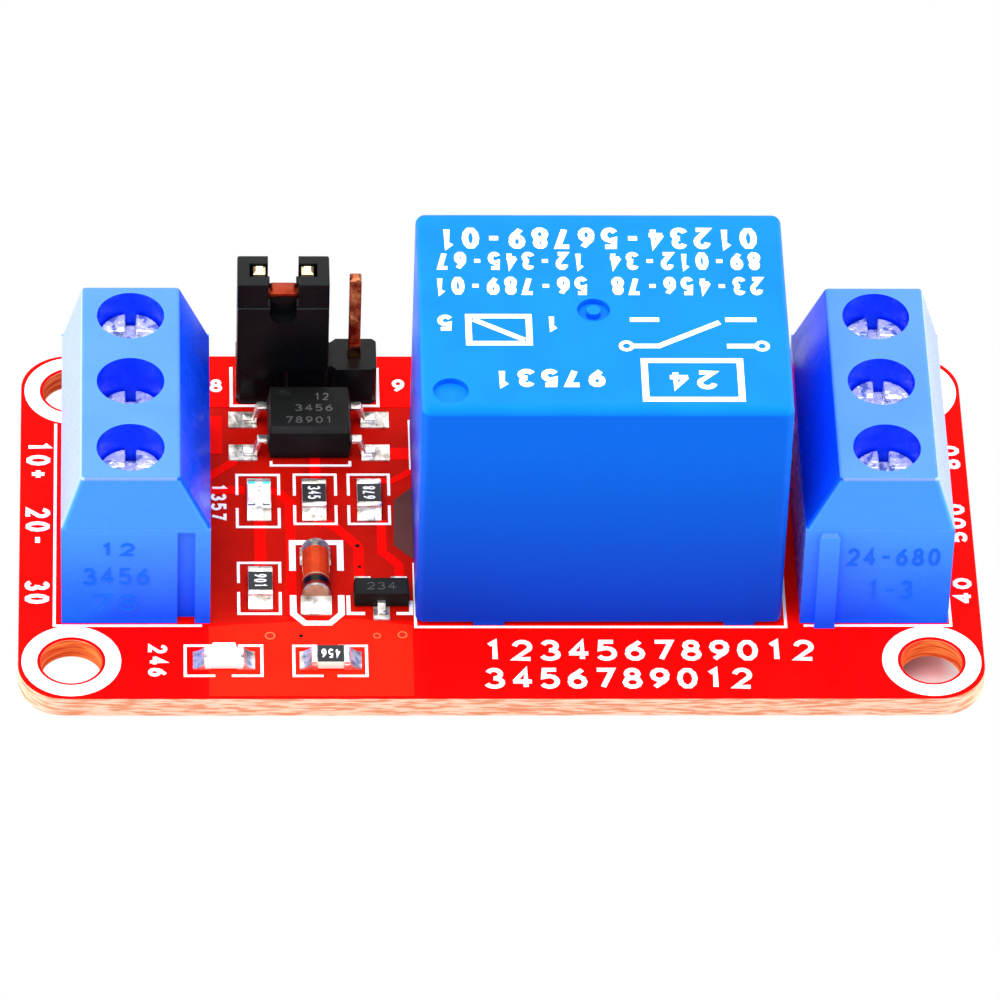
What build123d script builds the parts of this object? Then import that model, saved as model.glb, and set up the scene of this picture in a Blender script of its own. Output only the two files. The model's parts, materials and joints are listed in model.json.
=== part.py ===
from build123d import *
import os
from math import cos, radians, sin

# One-channel relay module board. Millimetres, +Z up.
# The origin is the centre of the four mounting holes, on the board's underside.
# The input terminals stand at the left end (-X), the output terminals at the right end.

# Screw terminal blocks: three poles each
POLE_COUNT = 3
POLE_PITCH = 5.0
POLE_WALL = 1.2
BLOCK_END_WALL = 0.55
BLOCK_WIDTH = 7.7
BLOCK_HEIGHT = 10.25
BLOCK_SHOULDER_DROP = 3.55
BLOCK_OUTER_INSET = 1.05
BLOCK_INNER_INSET = 1.59
BLOCK_END_LEDGE = 0.05
BLOCK_END_DRAFT = 0.1
BLOCK_EDGE_RADIUS = 0.25
DOVETAIL_INSET = 1.25
DOVETAIL_SHOULDER_GAP = 0.2
DOVETAIL_DEPTH = 0.4
DOVETAIL_ROOT = 0.75
DOVETAIL_FLARE = 0.15
DOVETAIL_CLEARANCE = 0.08
CHAMBER_OUTER_WALL = 1.1
CHAMBER_INNER_WALL = 1.55
CHAMBER_FIT = 0.05
ENTRY_LIP = 0.2
ENTRY_LEAD_IN = 0.35

# Clamp of one pole: a bent frame, a curved wire guard and a screw
FRAME_THICKNESS = 0.9
FRAME_FLOOR = 0.9
FRAME_DEPTH_IN_BLOCK = 4.05
FRAME_LIP_SETBACK = 0.5
TERMINAL_LEG_LENGTH = 0.8
TERMINAL_LEG_WIDTH = 1.0
SCREW_THREAD_RADIUS = 1.25
SCREW_RUNNING_CLEARANCE = 0.05
SCREW_HEAD_RADIUS = 1.65
SCREW_HEAD_HEIGHT = 1.5
SCREW_WELL_CLEARANCE = 0.1
SCREW_FRAME_CLEARANCE = 0.05
SCREW_SLOT_WIDTH = 0.55
SCREW_SLOT_DEPTH = 0.8
SCREW_CROSS_MARGIN = 0.55
INPUT_SCREW_DEPTHS = (1.65, 2.15, 1.35)
OUTPUT_SCREW_DEPTHS = (1.7, 1.42, 1.6)
GUARD_THICKNESS = 0.35
GUARD_SIDE_GAP = 0.35
GUARD_CROWN = 0.45
GUARD_SETBACK = 0.6
GUARD_FLOOR_GAP = 0.33
GUARD_TIP_GAP = 0.02

# Relay
RELAY_LENGTH = 19.0
RELAY_WIDTH = 15.2
RELAY_HEIGHT = 15.25
RELAY_LIFT = 0.3
COVER_WALL = 0.8
COVER_TOP_WALL = 0.9
COVER_EDGE_RADIUS = 0.5
COVER_TAB_LENGTH = 1.6
COVER_LEFT_TAB = 3.8
COVER_RIGHT_TAB = 2.2
VENT_RADIUS = 0.85
VENT_DEPTH = 0.35
VENT_NIB_RADIUS = 0.36
GATE_RADIUS = 0.92
GATE_INSET = 1.5
BASE_THICKNESS = 1.7
BASE_FIT = 0.05
BASE_FOOT = 1.4
COMMON_LEG_INSET = 2.33
COIL_LEG_STEP = 2.0
CONTACT_LEG_INSET = 2.47
RELAY_LEG_INSET = 1.6
RELAY_LEG_WIDTH = 1.0
RELAY_SHEET = 0.5
COIL_LEG_SIDE = 0.6
YOKE_THICKNESS = 1.2
YOKE_SETBACK = 0.21
CORE_SHARE = 0.4
POLE_CAP_SHARE = 0.665
POLE_CAP_HEIGHT = 0.7
POLE_GAP = 0.05
BOBBIN_FIT = 0.05
BOBBIN_WALL = 0.8
BOBBIN_FLANGE = 0.8
BOBBIN_YOKE_GAP = 0.1
BOBBIN_CONTACT_GAP = 0.6
BOBBIN_SIDE_GAP = 0.2
WINDING_MARGIN = 0.4
ARMATURE_TILT = 3.5
ARMATURE_SEAT_GAP = 0.03
ARMATURE_OVERHANG = 1.3
ARMATURE_THICKNESS = 1.2
BLADE_THICKNESS = 0.25
BLADE_ARM_WIDTH = 3.0
BLADE_LEG_LENGTH = 3.2
BLADE_LEG_GAP = 0.25
BLADE_SHOULDER_GAP = 0.6
CONTACT_SETBACK = 0.63
CONTACT_RADIUS = 1.2
CONTACT_HEIGHT = 0.4
CONTACT_GAP = 0.02
COVER_HEADROOM = 1.0
RISER_WIDTH = 1.6

# Jumper header: three posts, with a cap over the two left ones
HEADER_PITCH = 2.54
HEADER_POSTS = 3
HEADER_DEPTH = 2.45
HEADER_HEIGHT = 2.54
HEADER_END_TRIM = 0.08
HEADER_NOTCH = 0.42
HEADER_EDGE_GAP = 1.325
HEADER_SHIFT = -0.135
POST_SIDE = 0.64
POST_HEIGHTS = (6.1, 6.1, 5.6)
POST_TIP = 0.15
CAP_END_MARGIN = 0.115
CAP_DEPTH = 2.58
CAP_SHIFT = -0.13
CAP_SEAT_GAP = 0.03
CAP_TOWER_WIDTH = 1.62
CAP_SLOT_DEPTH = 1.5
CAP_LEDGE_DROP = 1.6
CAP_LEDGE_DEPTH = 0.12
CAP_SCOOP_RADIUS = 0.7
CAP_SCOOP_DROP = 0.5
CAP_SCOOP_DEPTH = 0.78
CAP_POCKET_CLEARANCE = 0.2
CLIP_THICKNESS = 0.22
CLIP_WIDTH = 0.9
CLIP_GAP = 0.04
CLIP_BEND_RADIUS = 0.3
CLIP_FLOOR_GAP = 0.75

# Optocoupler
OPTO_HEADER_GAP = 0.72
OPTO_LENGTH = 4.4
OPTO_WIDTH = 3.65
OPTO_STANDOFF = 0.1
OPTO_LOWER_HEIGHT = 0.95
OPTO_UPPER_HEIGHT = 1.05
OPTO_DRAFT = 8.0
OPTO_BEVEL = 0.25
OPTO_DIMPLE_RADIUS = 0.4
OPTO_DIMPLE_DEPTH = 0.1
OPTO_LEAD_PITCH = 2.54
OPTO_LEAD_LENGTH = 1.3
OPTO_LEAD_WIDTH = 0.5
OPTO_LEAD_SHEET = 0.22
OPTO_LEAD_KNEE = 0.55
OPTO_PAD_LENGTH = 1.5
OPTO_PAD_WIDTH = 1.2

# Chip resistors and light-emitting diodes, all on one body size
CHIP_LENGTH = 2.0
CHIP_WIDTH = 1.25
CHIP_HEIGHT = 0.5
CHIP_CAP_LENGTH = 0.32
CHIP_CAP_WRAP = 0.02
CHIP_SOLDER_LENGTH = 0.6
LED_BASE_HEIGHT = 0.35
LED_LENS_MARGIN = 0.35
LED_LENS_HEIGHT = 0.4
LED_LENS_DRAFT = 8.0

# Glass diode
DIODE_LENGTH = 3.5
DIODE_RADIUS = 0.72
DIODE_CAP_LENGTH = 0.55
DIODE_BORE = 0.38
DIODE_CHIP_LENGTH = 0.3
DIODE_SOLDER_LENGTH = 0.75
DIODE_SOLDER_WIDTH = 1.6

# Three-lead transistor
TRANSISTOR_LENGTH = 2.9
TRANSISTOR_WIDTH = 1.3
TRANSISTOR_STANDOFF = 0.05
TRANSISTOR_LOWER_HEIGHT = 0.45
TRANSISTOR_UPPER_HEIGHT = 0.5
TRANSISTOR_DRAFT = 7.0
TRANSISTOR_LEAD_PITCH = 0.95
TRANSISTOR_LEAD_LENGTH = 0.6
TRANSISTOR_LEAD_WIDTH = 0.42
TRANSISTOR_LEAD_SHEET = 0.14
TRANSISTOR_PAD_LENGTH = 0.95
TRANSISTOR_PAD_WIDTH = 0.85

# Layout, from the left edge of the board to the right
INPUT_EDGE_GAP = 2.22
COLUMN_START = 2.63
COLUMN_PITCH = 2.89
COLUMN_END = 2.24
RELAY_BLOCK_GAP = 0.97
OUTPUT_EDGE_GAP = 1.76
TRANSISTOR_SHIFT = 0.5
FRONT_RESISTOR_SHIFT = 0.69
POWER_LED_SHIFT = -1.93

# Layout, from the back of the small parts to the front
CHIP_ROW_GAP = 1.455
DIODE_ROW_GAP = 2.05
LEFT_RESISTOR_DROP = 0.5
TRANSISTOR_DROP = 1.27
FRONT_ROW_DROP = 5.9

# Circuit board
BOARD_THICKNESS = 1.2
BOARD_CORNER_RADIUS = 2.5
BOARD_END_ROOM = 5.55
MOUNT_INSET = 2.75
MOUNT_HOLE_RADIUS = 1.6

# Soldered legs and their joints under the board
LEG_PROTRUSION = 1.5
LEG_HOLE_CLEARANCE = 0.15
LEG_HOLE_SIDES = 8
SOLDER_CONE_HEIGHT = 1.0
SOLDER_CONE_SPREAD = 0.38
SOLDER_CONE_TIP = 0.1
SOLDER_FILM = 0.1
SOLDER_HOLLOW_REACH = 0.4
SOLDER_HOLLOW_RISE = 0.35

# Terminal blocks, worked out from the sizes above
CHAMBER_WIDTH = POLE_PITCH - POLE_WALL
ENTRY_WIDTH = CHAMBER_WIDTH - 2 * ENTRY_LIP
BLOCK_LENGTH = (POLE_COUNT - 1) * POLE_PITCH + CHAMBER_WIDTH + 2 * BLOCK_END_WALL
BLOCK_SHOULDER = BLOCK_HEIGHT - BLOCK_SHOULDER_DROP
DOVETAIL_X = BLOCK_WIDTH / 2 - DOVETAIL_INSET
DOVETAIL_HEIGHT = BLOCK_SHOULDER - DOVETAIL_SHOULDER_GAP
SCREW_X = (BLOCK_OUTER_INSET - BLOCK_INNER_INSET) / 2
SCREW_SHANK_RADIUS = SCREW_THREAD_RADIUS - SCREW_RUNNING_CLEARANCE
WELL_RADIUS = SCREW_HEAD_RADIUS + SCREW_WELL_CLEARANCE
CHAMBER_OUTER_X = -BLOCK_WIDTH / 2 + CHAMBER_OUTER_WALL
CHAMBER_INNER_X = BLOCK_WIDTH / 2 - CHAMBER_INNER_WALL
FRAME_TOP = BLOCK_HEIGHT - FRAME_DEPTH_IN_BLOCK
FRAME_OUTER_X = CHAMBER_OUTER_X + CHAMBER_FIT
FRAME_BACK_X = CHAMBER_INNER_X - CHAMBER_FIT
FRAME_WIDTH = CHAMBER_WIDTH - 2 * CHAMBER_FIT
ENTRY_FLOOR = FRAME_FLOOR + FRAME_THICKNESS
ENTRY_TOP = FRAME_TOP - FRAME_THICKNESS
GUARD_WIDTH = FRAME_WIDTH - 2 * GUARD_SIDE_GAP
GUARD_STACK = GUARD_CROWN + GUARD_THICKNESS + GUARD_TIP_GAP
SCREW_SHANK_LENGTH = FRAME_TOP + SCREW_FRAME_CLEARANCE - ENTRY_FLOOR - GUARD_FLOOR_GAP - GUARD_STACK

# Relay, worked out from its left end and its floor
BASE_TOP = RELAY_LIFT + BASE_THICKNESS
COVER_INNER_X = (COVER_WALL, RELAY_LENGTH - COVER_WALL)
COVER_INNER_Y = RELAY_WIDTH / 2 - COVER_WALL
RELAY_LEG_Y = RELAY_WIDTH / 2 - RELAY_LEG_INSET
COMMON_LEG_X = COMMON_LEG_INSET
COIL_LEG_X = COMMON_LEG_X + COIL_LEG_STEP
CONTACT_LEG_X = RELAY_LENGTH - CONTACT_LEG_INSET
CONTACT_X = CONTACT_LEG_X - CONTACT_SETBACK
YOKE_OUTER_X = COMMON_LEG_X + RELAY_SHEET / 2
YOKE_INNER_X = YOKE_OUTER_X + YOKE_THICKNESS
YOKE_FLOOR_TOP = BASE_TOP + YOKE_THICKNESS
BOBBIN_X = (YOKE_INNER_X + BOBBIN_YOKE_GAP, CONTACT_X - CONTACT_RADIUS - BOBBIN_CONTACT_GAP)
BOBBIN_LENGTH = BOBBIN_X[1] - BOBBIN_X[0]
CORE_RADIUS = CORE_SHARE * BOBBIN_LENGTH / 2
POLE_CAP_RADIUS = POLE_CAP_SHARE * BOBBIN_LENGTH / 2
BOBBIN_BORE = CORE_RADIUS + BOBBIN_FIT
BOBBIN_HALF_WIDTH = COVER_INNER_Y - BOBBIN_SIDE_GAP
COIL_X = sum(BOBBIN_X) / 2
WINDING_RADIUS = BOBBIN_LENGTH / 2 - WINDING_MARGIN
YOKE_WIDTH = 2 * (WINDING_RADIUS - YOKE_SETBACK)
CONTACT_REACH = CONTACT_X - YOKE_OUTER_X
ARMATURE_LENGTH = COIL_X + POLE_CAP_RADIUS + ARMATURE_OVERHANG - YOKE_OUTER_X - ARMATURE_THICKNESS / 2
BLADE_TOP = ARMATURE_THICKNESS + BLADE_THICKNESS
CONTACT_RISE = (
    (BLADE_TOP + CONTACT_HEIGHT) * cos(radians(ARMATURE_TILT))
    + (CONTACT_REACH + CONTACT_RADIUS) * sin(radians(ARMATURE_TILT))
    + CONTACT_GAP
)
HINGE_Z = RELAY_HEIGHT - COVER_TOP_WALL - COVER_HEADROOM - RELAY_SHEET - CONTACT_HEIGHT - CONTACT_RISE
YOKE_TOP = HINGE_Z - ARMATURE_SEAT_GAP
BOBBIN_TOP = YOKE_TOP - POLE_GAP - POLE_CAP_HEIGHT
CLOSED_CONTACT_Z = HINGE_Z + CONTACT_RISE
OPEN_CONTACT_Z = HINGE_Z + ARMATURE_THICKNESS - CONTACT_HEIGHT - CONTACT_GAP

# Jumper cap and clip
CAP_LENGTH = 2 * (HEADER_PITCH - CAP_END_MARGIN)
CAP_HEIGHT = POST_HEIGHTS[0] - CAP_SEAT_GAP
CAP_SLOT_FLOOR = CAP_HEIGHT - CAP_SLOT_DEPTH
CAP_LEDGE_HEIGHT = CAP_HEIGHT - CAP_LEDGE_DROP
CLIP_LENGTH = CAP_SLOT_FLOOR - CLIP_FLOOR_GAP

# Places on the board, worked out from the layout
COLUMNS_LENGTH = COLUMN_START + 2 * COLUMN_PITCH + COLUMN_END
BOARD_LENGTH = (
    INPUT_EDGE_GAP + BLOCK_WIDTH + COLUMNS_LENGTH + RELAY_LENGTH + RELAY_BLOCK_GAP + BLOCK_WIDTH
    + OUTPUT_EDGE_GAP
)
BOARD_WIDTH = BLOCK_LENGTH + 2 * BOARD_END_ROOM
MOUNT_PITCH_X = BOARD_LENGTH - 2 * MOUNT_INSET
MOUNT_PITCH_Y = BOARD_WIDTH - 2 * MOUNT_INSET
INPUT_X = -BOARD_LENGTH / 2 + INPUT_EDGE_GAP + BLOCK_WIDTH / 2
OUTPUT_X = BOARD_LENGTH / 2 - OUTPUT_EDGE_GAP - BLOCK_WIDTH / 2
COLUMN_X = [INPUT_X + BLOCK_WIDTH / 2 + COLUMN_START + i * COLUMN_PITCH for i in range(3)]
OPTO_X = INPUT_X + BLOCK_WIDTH / 2 + COLUMNS_LENGTH / 2
RELAY_START_X = COLUMN_X[2] + COLUMN_END
HEADER_X = OPTO_X + HEADER_SHIFT
CAP_X = HEADER_X - HEADER_PITCH / 2
HEADER_Y = BOARD_WIDTH / 2 - HEADER_EDGE_GAP - HEADER_DEPTH / 2
OPTO_Y = HEADER_Y - HEADER_DEPTH / 2 - OPTO_HEADER_GAP - OPTO_WIDTH / 2
CHIP_HALF_FOOTPRINT = CHIP_LENGTH / 2 + CHIP_SOLDER_LENGTH
DIODE_HALF_FOOTPRINT = DIODE_LENGTH / 2 + DIODE_SOLDER_LENGTH
CHIP_ROW_Y = OPTO_Y - OPTO_WIDTH / 2 - CHIP_ROW_GAP - CHIP_HALF_FOOTPRINT
DIODE_Y = CHIP_ROW_Y - CHIP_HALF_FOOTPRINT - DIODE_ROW_GAP - DIODE_HALF_FOOTPRINT
FRONT_ROW_Y = DIODE_Y - FRONT_ROW_DROP
RESISTOR_PLACES = (
    (COLUMN_X[1], CHIP_ROW_Y, 90),
    (COLUMN_X[2], CHIP_ROW_Y, 90),
    (COLUMN_X[0], DIODE_Y - LEFT_RESISTOR_DROP, 90),
    (COLUMN_X[1] + FRONT_RESISTOR_SHIFT, FRONT_ROW_Y, 0),
)
LED_PLACES = {
    "status_led": (COLUMN_X[0], CHIP_ROW_Y, 90),
    "power_led": (COLUMN_X[0] + POWER_LED_SHIFT, FRONT_ROW_Y, 180),
}
LEG_END = -BOARD_THICKNESS - LEG_PROTRUSION
OPTO_PARTING = OPTO_STANDOFF + OPTO_LOWER_HEIGHT
TRANSISTOR_PARTING = TRANSISTOR_STANDOFF + TRANSISTOR_LOWER_HEIGHT


def seat_at(x, y, turn=0.0):
    """A level plane on the board's top face, turned about Z."""
    return Plane(Location((x, y, BOARD_THICKNESS), (0, 0, turn)))


def along(seat, y=0.0):
    """An upright plane on a seat: sketch X runs along the seat's X, sketch Y points up."""
    return Plane(origin=seat.from_local_coords(Vector(0, y, 0)), x_dir=seat.x_dir, z_dir=-seat.y_dir)


def across(seat, x=0.0):
    """An upright plane on a seat: sketch X runs along the seat's Y, sketch Y points up."""
    return Plane(origin=seat.from_local_coords(Vector(x, 0, 0)), x_dir=seat.y_dir, z_dir=seat.x_dir)


def bar(seat, x_span, y_span, z_span, mode=Mode.ADD):
    """A straight-sided block, given its spans on a seat."""
    with BuildSketch(seat.offset(z_span[0])) as outline:
        with Locations((sum(x_span) / 2, sum(y_span) / 2)):
            Rectangle(x_span[1] - x_span[0], y_span[1] - y_span[0])
    extrude(outline.sketch, amount=z_span[1] - z_span[0], mode=mode)


def disc(seat, x, y, radius, z_span, mode=Mode.ADD):
    """An upright round bar or hole, given its axis and height span on a seat."""
    with BuildSketch(seat.offset(z_span[0])) as outline:
        with Locations((x, y)):
            Circle(radius)
    extrude(outline.sketch, amount=z_span[1] - z_span[0], mode=mode)


def slab(plane, points, width, mode=Mode.ADD):
    """A closed outline, extruded by half the width to each side of its plane."""
    with BuildSketch(plane) as outline:
        with BuildLine():
            Polyline(*points, close=True)
        make_face()
    extrude(outline.sketch, amount=width / 2, both=True, mode=mode)


def bent_strip(plane, path, radius, thickness, width):
    """Sheet metal bent along a path, extruded by half the width to each side of its plane."""
    with BuildSketch(plane) as outline:
        with BuildLine():
            FilletPolyline(*path, radius=radius)
        trace(line_width=thickness)
    extrude(outline.sketch, amount=width / 2, both=True)


def save(part, name):
    """Label one finished sub-part and write it to its own file."""
    part.label = name
    export_step(part, f"parts/{name}.step")


# The seats that everything stands on
input_seat = seat_at(INPUT_X, 0)
output_seat = seat_at(OUTPUT_X, 0, 180)
relay_seat = seat_at(RELAY_START_X, 0)
header_seat = seat_at(HEADER_X, HEADER_Y)
cap_seat = seat_at(CAP_X, HEADER_Y + CAP_SHIFT).offset(HEADER_HEIGHT + CAP_SEAT_GAP)
opto_seat = seat_at(OPTO_X, OPTO_Y)
diode_seat = seat_at(COLUMN_X[1], DIODE_Y, 90)
transistor_seat = seat_at(COLUMN_X[2] + TRANSISTOR_SHIFT, DIODE_Y - TRANSISTOR_DROP)
armature_seat = Plane(
    origin=relay_seat.from_local_coords(Vector(YOKE_OUTER_X, 0, HINGE_Z)),
    x_dir=(cos(radians(ARMATURE_TILT)), 0, sin(radians(ARMATURE_TILT))),
    z_dir=(-sin(radians(ARMATURE_TILT)), 0, cos(radians(ARMATURE_TILT))),
)


def pole_seats(x, turn):
    """The seats of a block's poles, numbered from the front edge of the board."""
    return [seat_at(x, (i - (POLE_COUNT - 1) / 2) * POLE_PITCH, turn) for i in range(POLE_COUNT)]


# Every soldered leg: its seat, its place there and its section along X and Y
def all_legs():
    legs = []
    for seat in pole_seats(INPUT_X, 0) + pole_seats(OUTPUT_X, 180):
        legs.append((seat, 0, 0, TERMINAL_LEG_LENGTH, TERMINAL_LEG_WIDTH))
    legs.append((relay_seat, COMMON_LEG_X, 0, RELAY_SHEET, RELAY_LEG_WIDTH))
    for side in (-1, 1):
        legs.append((relay_seat, COIL_LEG_X, side * RELAY_LEG_Y, COIL_LEG_SIDE, COIL_LEG_SIDE))
        legs.append((relay_seat, CONTACT_LEG_X, side * RELAY_LEG_Y, RELAY_SHEET, RELAY_LEG_WIDTH))
    for i in range(HEADER_POSTS):
        x = (i - (HEADER_POSTS - 1) / 2) * HEADER_PITCH
        legs.append((header_seat, x, 0, POST_SIDE, POST_SIDE))
    return legs


def hole_radius(leg_x, leg_y):
    """Radius of the plated hole that a leg of this section goes through."""
    return (leg_x**2 + leg_y**2) ** 0.5 / 2 + LEG_HOLE_CLEARANCE


def circuit_board():
    with BuildPart() as board:
        with BuildSketch():
            RectangleRounded(BOARD_LENGTH, BOARD_WIDTH, BOARD_CORNER_RADIUS)
            with GridLocations(MOUNT_PITCH_X, MOUNT_PITCH_Y, 2, 2):
                Circle(MOUNT_HOLE_RADIUS, mode=Mode.SUBTRACT)
            for seat, x, y, leg_x, leg_y in all_legs():
                with Locations(seat.from_local_coords(Vector(x, y, 0))):
                    RegularPolygon(hole_radius(leg_x, leg_y), LEG_HOLE_SIDES, mode=Mode.SUBTRACT)
        extrude(amount=BOARD_THICKNESS)
    return board.part


def through_hole_solder():
    """A faceted cone of solder round each leg under the board."""
    with BuildPart() as solder:
        for seat, x, y, leg_x, leg_y in all_legs():
            bore = hole_radius(leg_x, leg_y)
            for depth, radius in ((0, bore + SOLDER_CONE_SPREAD),
                                  (SOLDER_CONE_HEIGHT, bore - LEG_HOLE_CLEARANCE + SOLDER_CONE_TIP)):
                with BuildSketch(seat.offset(-BOARD_THICKNESS - depth)):
                    with Locations((x, y)):
                        RegularPolygon(radius, LEG_HOLE_SIDES)
            loft()
        for seat, x, y, leg_x, leg_y in all_legs():
            bar(seat, (x - leg_x / 2, x + leg_x / 2), (y - leg_y / 2, y + leg_y / 2),
                (LEG_END, 0), mode=Mode.SUBTRACT)
    return solder.part


def terminal_housing(seat):
    """Moulded block: sloped shoulders, screw wells, wire entries and a dovetail at each end."""
    left, right = -BLOCK_WIDTH / 2, BLOCK_WIDTH / 2
    end = BLOCK_LENGTH / 2
    with BuildPart() as housing:
        section = [
            (left, 0), (right, 0), (right, BLOCK_SHOULDER), (right - BLOCK_INNER_INSET, BLOCK_HEIGHT),
            (left + BLOCK_OUTER_INSET, BLOCK_HEIGHT), (left, BLOCK_SHOULDER),
        ]
        slab(along(seat), section, BLOCK_LENGTH)
        for side in (-1, 1):
            drafted_end = [
                (side * end, BLOCK_SHOULDER), (side * (end - BLOCK_END_LEDGE), BLOCK_SHOULDER),
                (side * (end - BLOCK_END_LEDGE - BLOCK_END_DRAFT), BLOCK_HEIGHT), (side * end, BLOCK_HEIGHT),
            ]
            slab(across(seat), drafted_end, BLOCK_WIDTH, mode=Mode.SUBTRACT)
        shoulder_z = BOARD_THICKNESS + BLOCK_SHOULDER
        fillet(housing.edges().filter_by(lambda edge: edge.center().Z > shoulder_z), radius=BLOCK_EDGE_RADIUS)
        dovetail(seat, -end, DOVETAIL_CLEARANCE, Mode.SUBTRACT)
        dovetail(seat, end, 0.0, Mode.ADD)
        for i in range(POLE_COUNT):
            y = (i - (POLE_COUNT - 1) / 2) * POLE_PITCH
            chamber_y = (y - CHAMBER_WIDTH / 2, y + CHAMBER_WIDTH / 2)
            bar(seat, (CHAMBER_OUTER_X, CHAMBER_INNER_X), chamber_y,
                (0, FRAME_TOP + CHAMBER_FIT), mode=Mode.SUBTRACT)
            disc(seat, SCREW_X, y, WELL_RADIUS, (FRAME_TOP, BLOCK_HEIGHT), mode=Mode.SUBTRACT)
            with BuildSketch(across(seat, left)) as entry:
                with Locations((y, (ENTRY_FLOOR + ENTRY_TOP) / 2)):
                    Rectangle(ENTRY_WIDTH, ENTRY_TOP - ENTRY_FLOOR)
            extrude(entry.sketch, amount=CHAMBER_OUTER_WALL, mode=Mode.SUBTRACT)
            with BuildSketch(across(seat, left)) as mouth:
                with Locations((y, (ENTRY_FLOOR + ENTRY_TOP) / 2)):
                    Rectangle(ENTRY_WIDTH + 2 * ENTRY_LEAD_IN, ENTRY_TOP - ENTRY_FLOOR + 2 * ENTRY_LEAD_IN)
            extrude(mouth.sketch, amount=ENTRY_LEAD_IN, taper=45, mode=Mode.SUBTRACT)
    return housing.part


def dovetail(seat, end, clearance, mode):
    """A rib, or the groove that takes it, down one end of a block."""
    outward = 1 if end > 0 else -1
    sense = outward if mode is Mode.ADD else -outward
    root = DOVETAIL_ROOT / 2 + clearance
    flared = root + DOVETAIL_FLARE
    tip = end + sense * (DOVETAIL_DEPTH + clearance)
    with BuildSketch(seat) as outline:
        with BuildLine():
            Polyline((DOVETAIL_X - root, end), (DOVETAIL_X + root, end),
                     (DOVETAIL_X + flared, tip), (DOVETAIL_X - flared, tip), close=True)
        make_face()
    extrude(outline.sketch, amount=DOVETAIL_HEIGHT, mode=mode)


def terminal_frame(seat):
    """Bent frame of one pole, with the screw's threaded hole and a leg through the board."""
    bend = FRAME_THICKNESS / 2
    inner_x = FRAME_BACK_X - FRAME_THICKNESS
    lip_x = FRAME_OUTER_X + FRAME_LIP_SETBACK
    section = [
        (FRAME_OUTER_X, FRAME_FLOOR), (FRAME_BACK_X - bend, FRAME_FLOOR), (FRAME_BACK_X, FRAME_FLOOR + bend),
        (FRAME_BACK_X, FRAME_TOP - bend), (FRAME_BACK_X - bend, FRAME_TOP), (lip_x, FRAME_TOP),
        (lip_x, ENTRY_TOP), (inner_x, ENTRY_TOP), (inner_x, ENTRY_FLOOR), (FRAME_OUTER_X, ENTRY_FLOOR),
    ]
    with BuildPart() as frame:
        slab(along(seat), section, FRAME_WIDTH)
        bar(seat, (-TERMINAL_LEG_LENGTH / 2, TERMINAL_LEG_LENGTH / 2),
            (-TERMINAL_LEG_WIDTH / 2, TERMINAL_LEG_WIDTH / 2), (LEG_END, ENTRY_FLOOR))
        disc(seat, SCREW_X, 0, SCREW_THREAD_RADIUS, (ENTRY_TOP, FRAME_TOP), mode=Mode.SUBTRACT)
    return frame.part


def terminal_screw(seat, depth):
    """Cheese-head screw with a slot and a shorter cross slot, its head this far down its well."""
    head_top = BLOCK_HEIGHT - depth
    head_floor = head_top - SCREW_HEAD_HEIGHT
    with BuildPart() as screw:
        disc(seat, SCREW_X, 0, SCREW_HEAD_RADIUS, (head_floor, head_top))
        disc(seat, SCREW_X, 0, SCREW_SHANK_RADIUS, (head_floor - SCREW_SHANK_LENGTH, head_floor))
        slot = SCREW_SLOT_WIDTH / 2
        slot_z = (head_top - SCREW_SLOT_DEPTH, head_top)
        bar(seat, (SCREW_X - slot, SCREW_X + slot), (-SCREW_HEAD_RADIUS, SCREW_HEAD_RADIUS),
            slot_z, mode=Mode.SUBTRACT)
        cross = SCREW_HEAD_RADIUS - SCREW_CROSS_MARGIN
        bar(seat, (SCREW_X - cross, SCREW_X + cross), (-slot, slot), slot_z, mode=Mode.SUBTRACT)
    return screw.part


def wire_guard(seat, depth):
    """Curved leaf that the screw's tip presses down on the wire."""
    crown = BLOCK_HEIGHT - depth - SCREW_HEAD_HEIGHT - SCREW_SHANK_LENGTH - GUARD_TIP_GAP
    outer_end = FRAME_OUTER_X + GUARD_SETBACK
    length = FRAME_BACK_X - FRAME_THICKNESS - CHAMBER_FIT - outer_end
    half = GUARD_WIDTH / 2
    with BuildPart() as guard:
        with BuildSketch(across(seat, outer_end)) as outline:
            with BuildLine():
                ThreePointArc((-half, crown - GUARD_CROWN), (0, crown), (half, crown - GUARD_CROWN))
                Line((half, crown - GUARD_CROWN), (half, crown - GUARD_CROWN - GUARD_THICKNESS))
                ThreePointArc((half, crown - GUARD_CROWN - GUARD_THICKNESS), (0, crown - GUARD_THICKNESS),
                              (-half, crown - GUARD_CROWN - GUARD_THICKNESS))
                Line((-half, crown - GUARD_CROWN - GUARD_THICKNESS), (-half, crown - GUARD_CROWN))
            make_face()
        extrude(outline.sketch, amount=length)
    return guard.part


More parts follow.
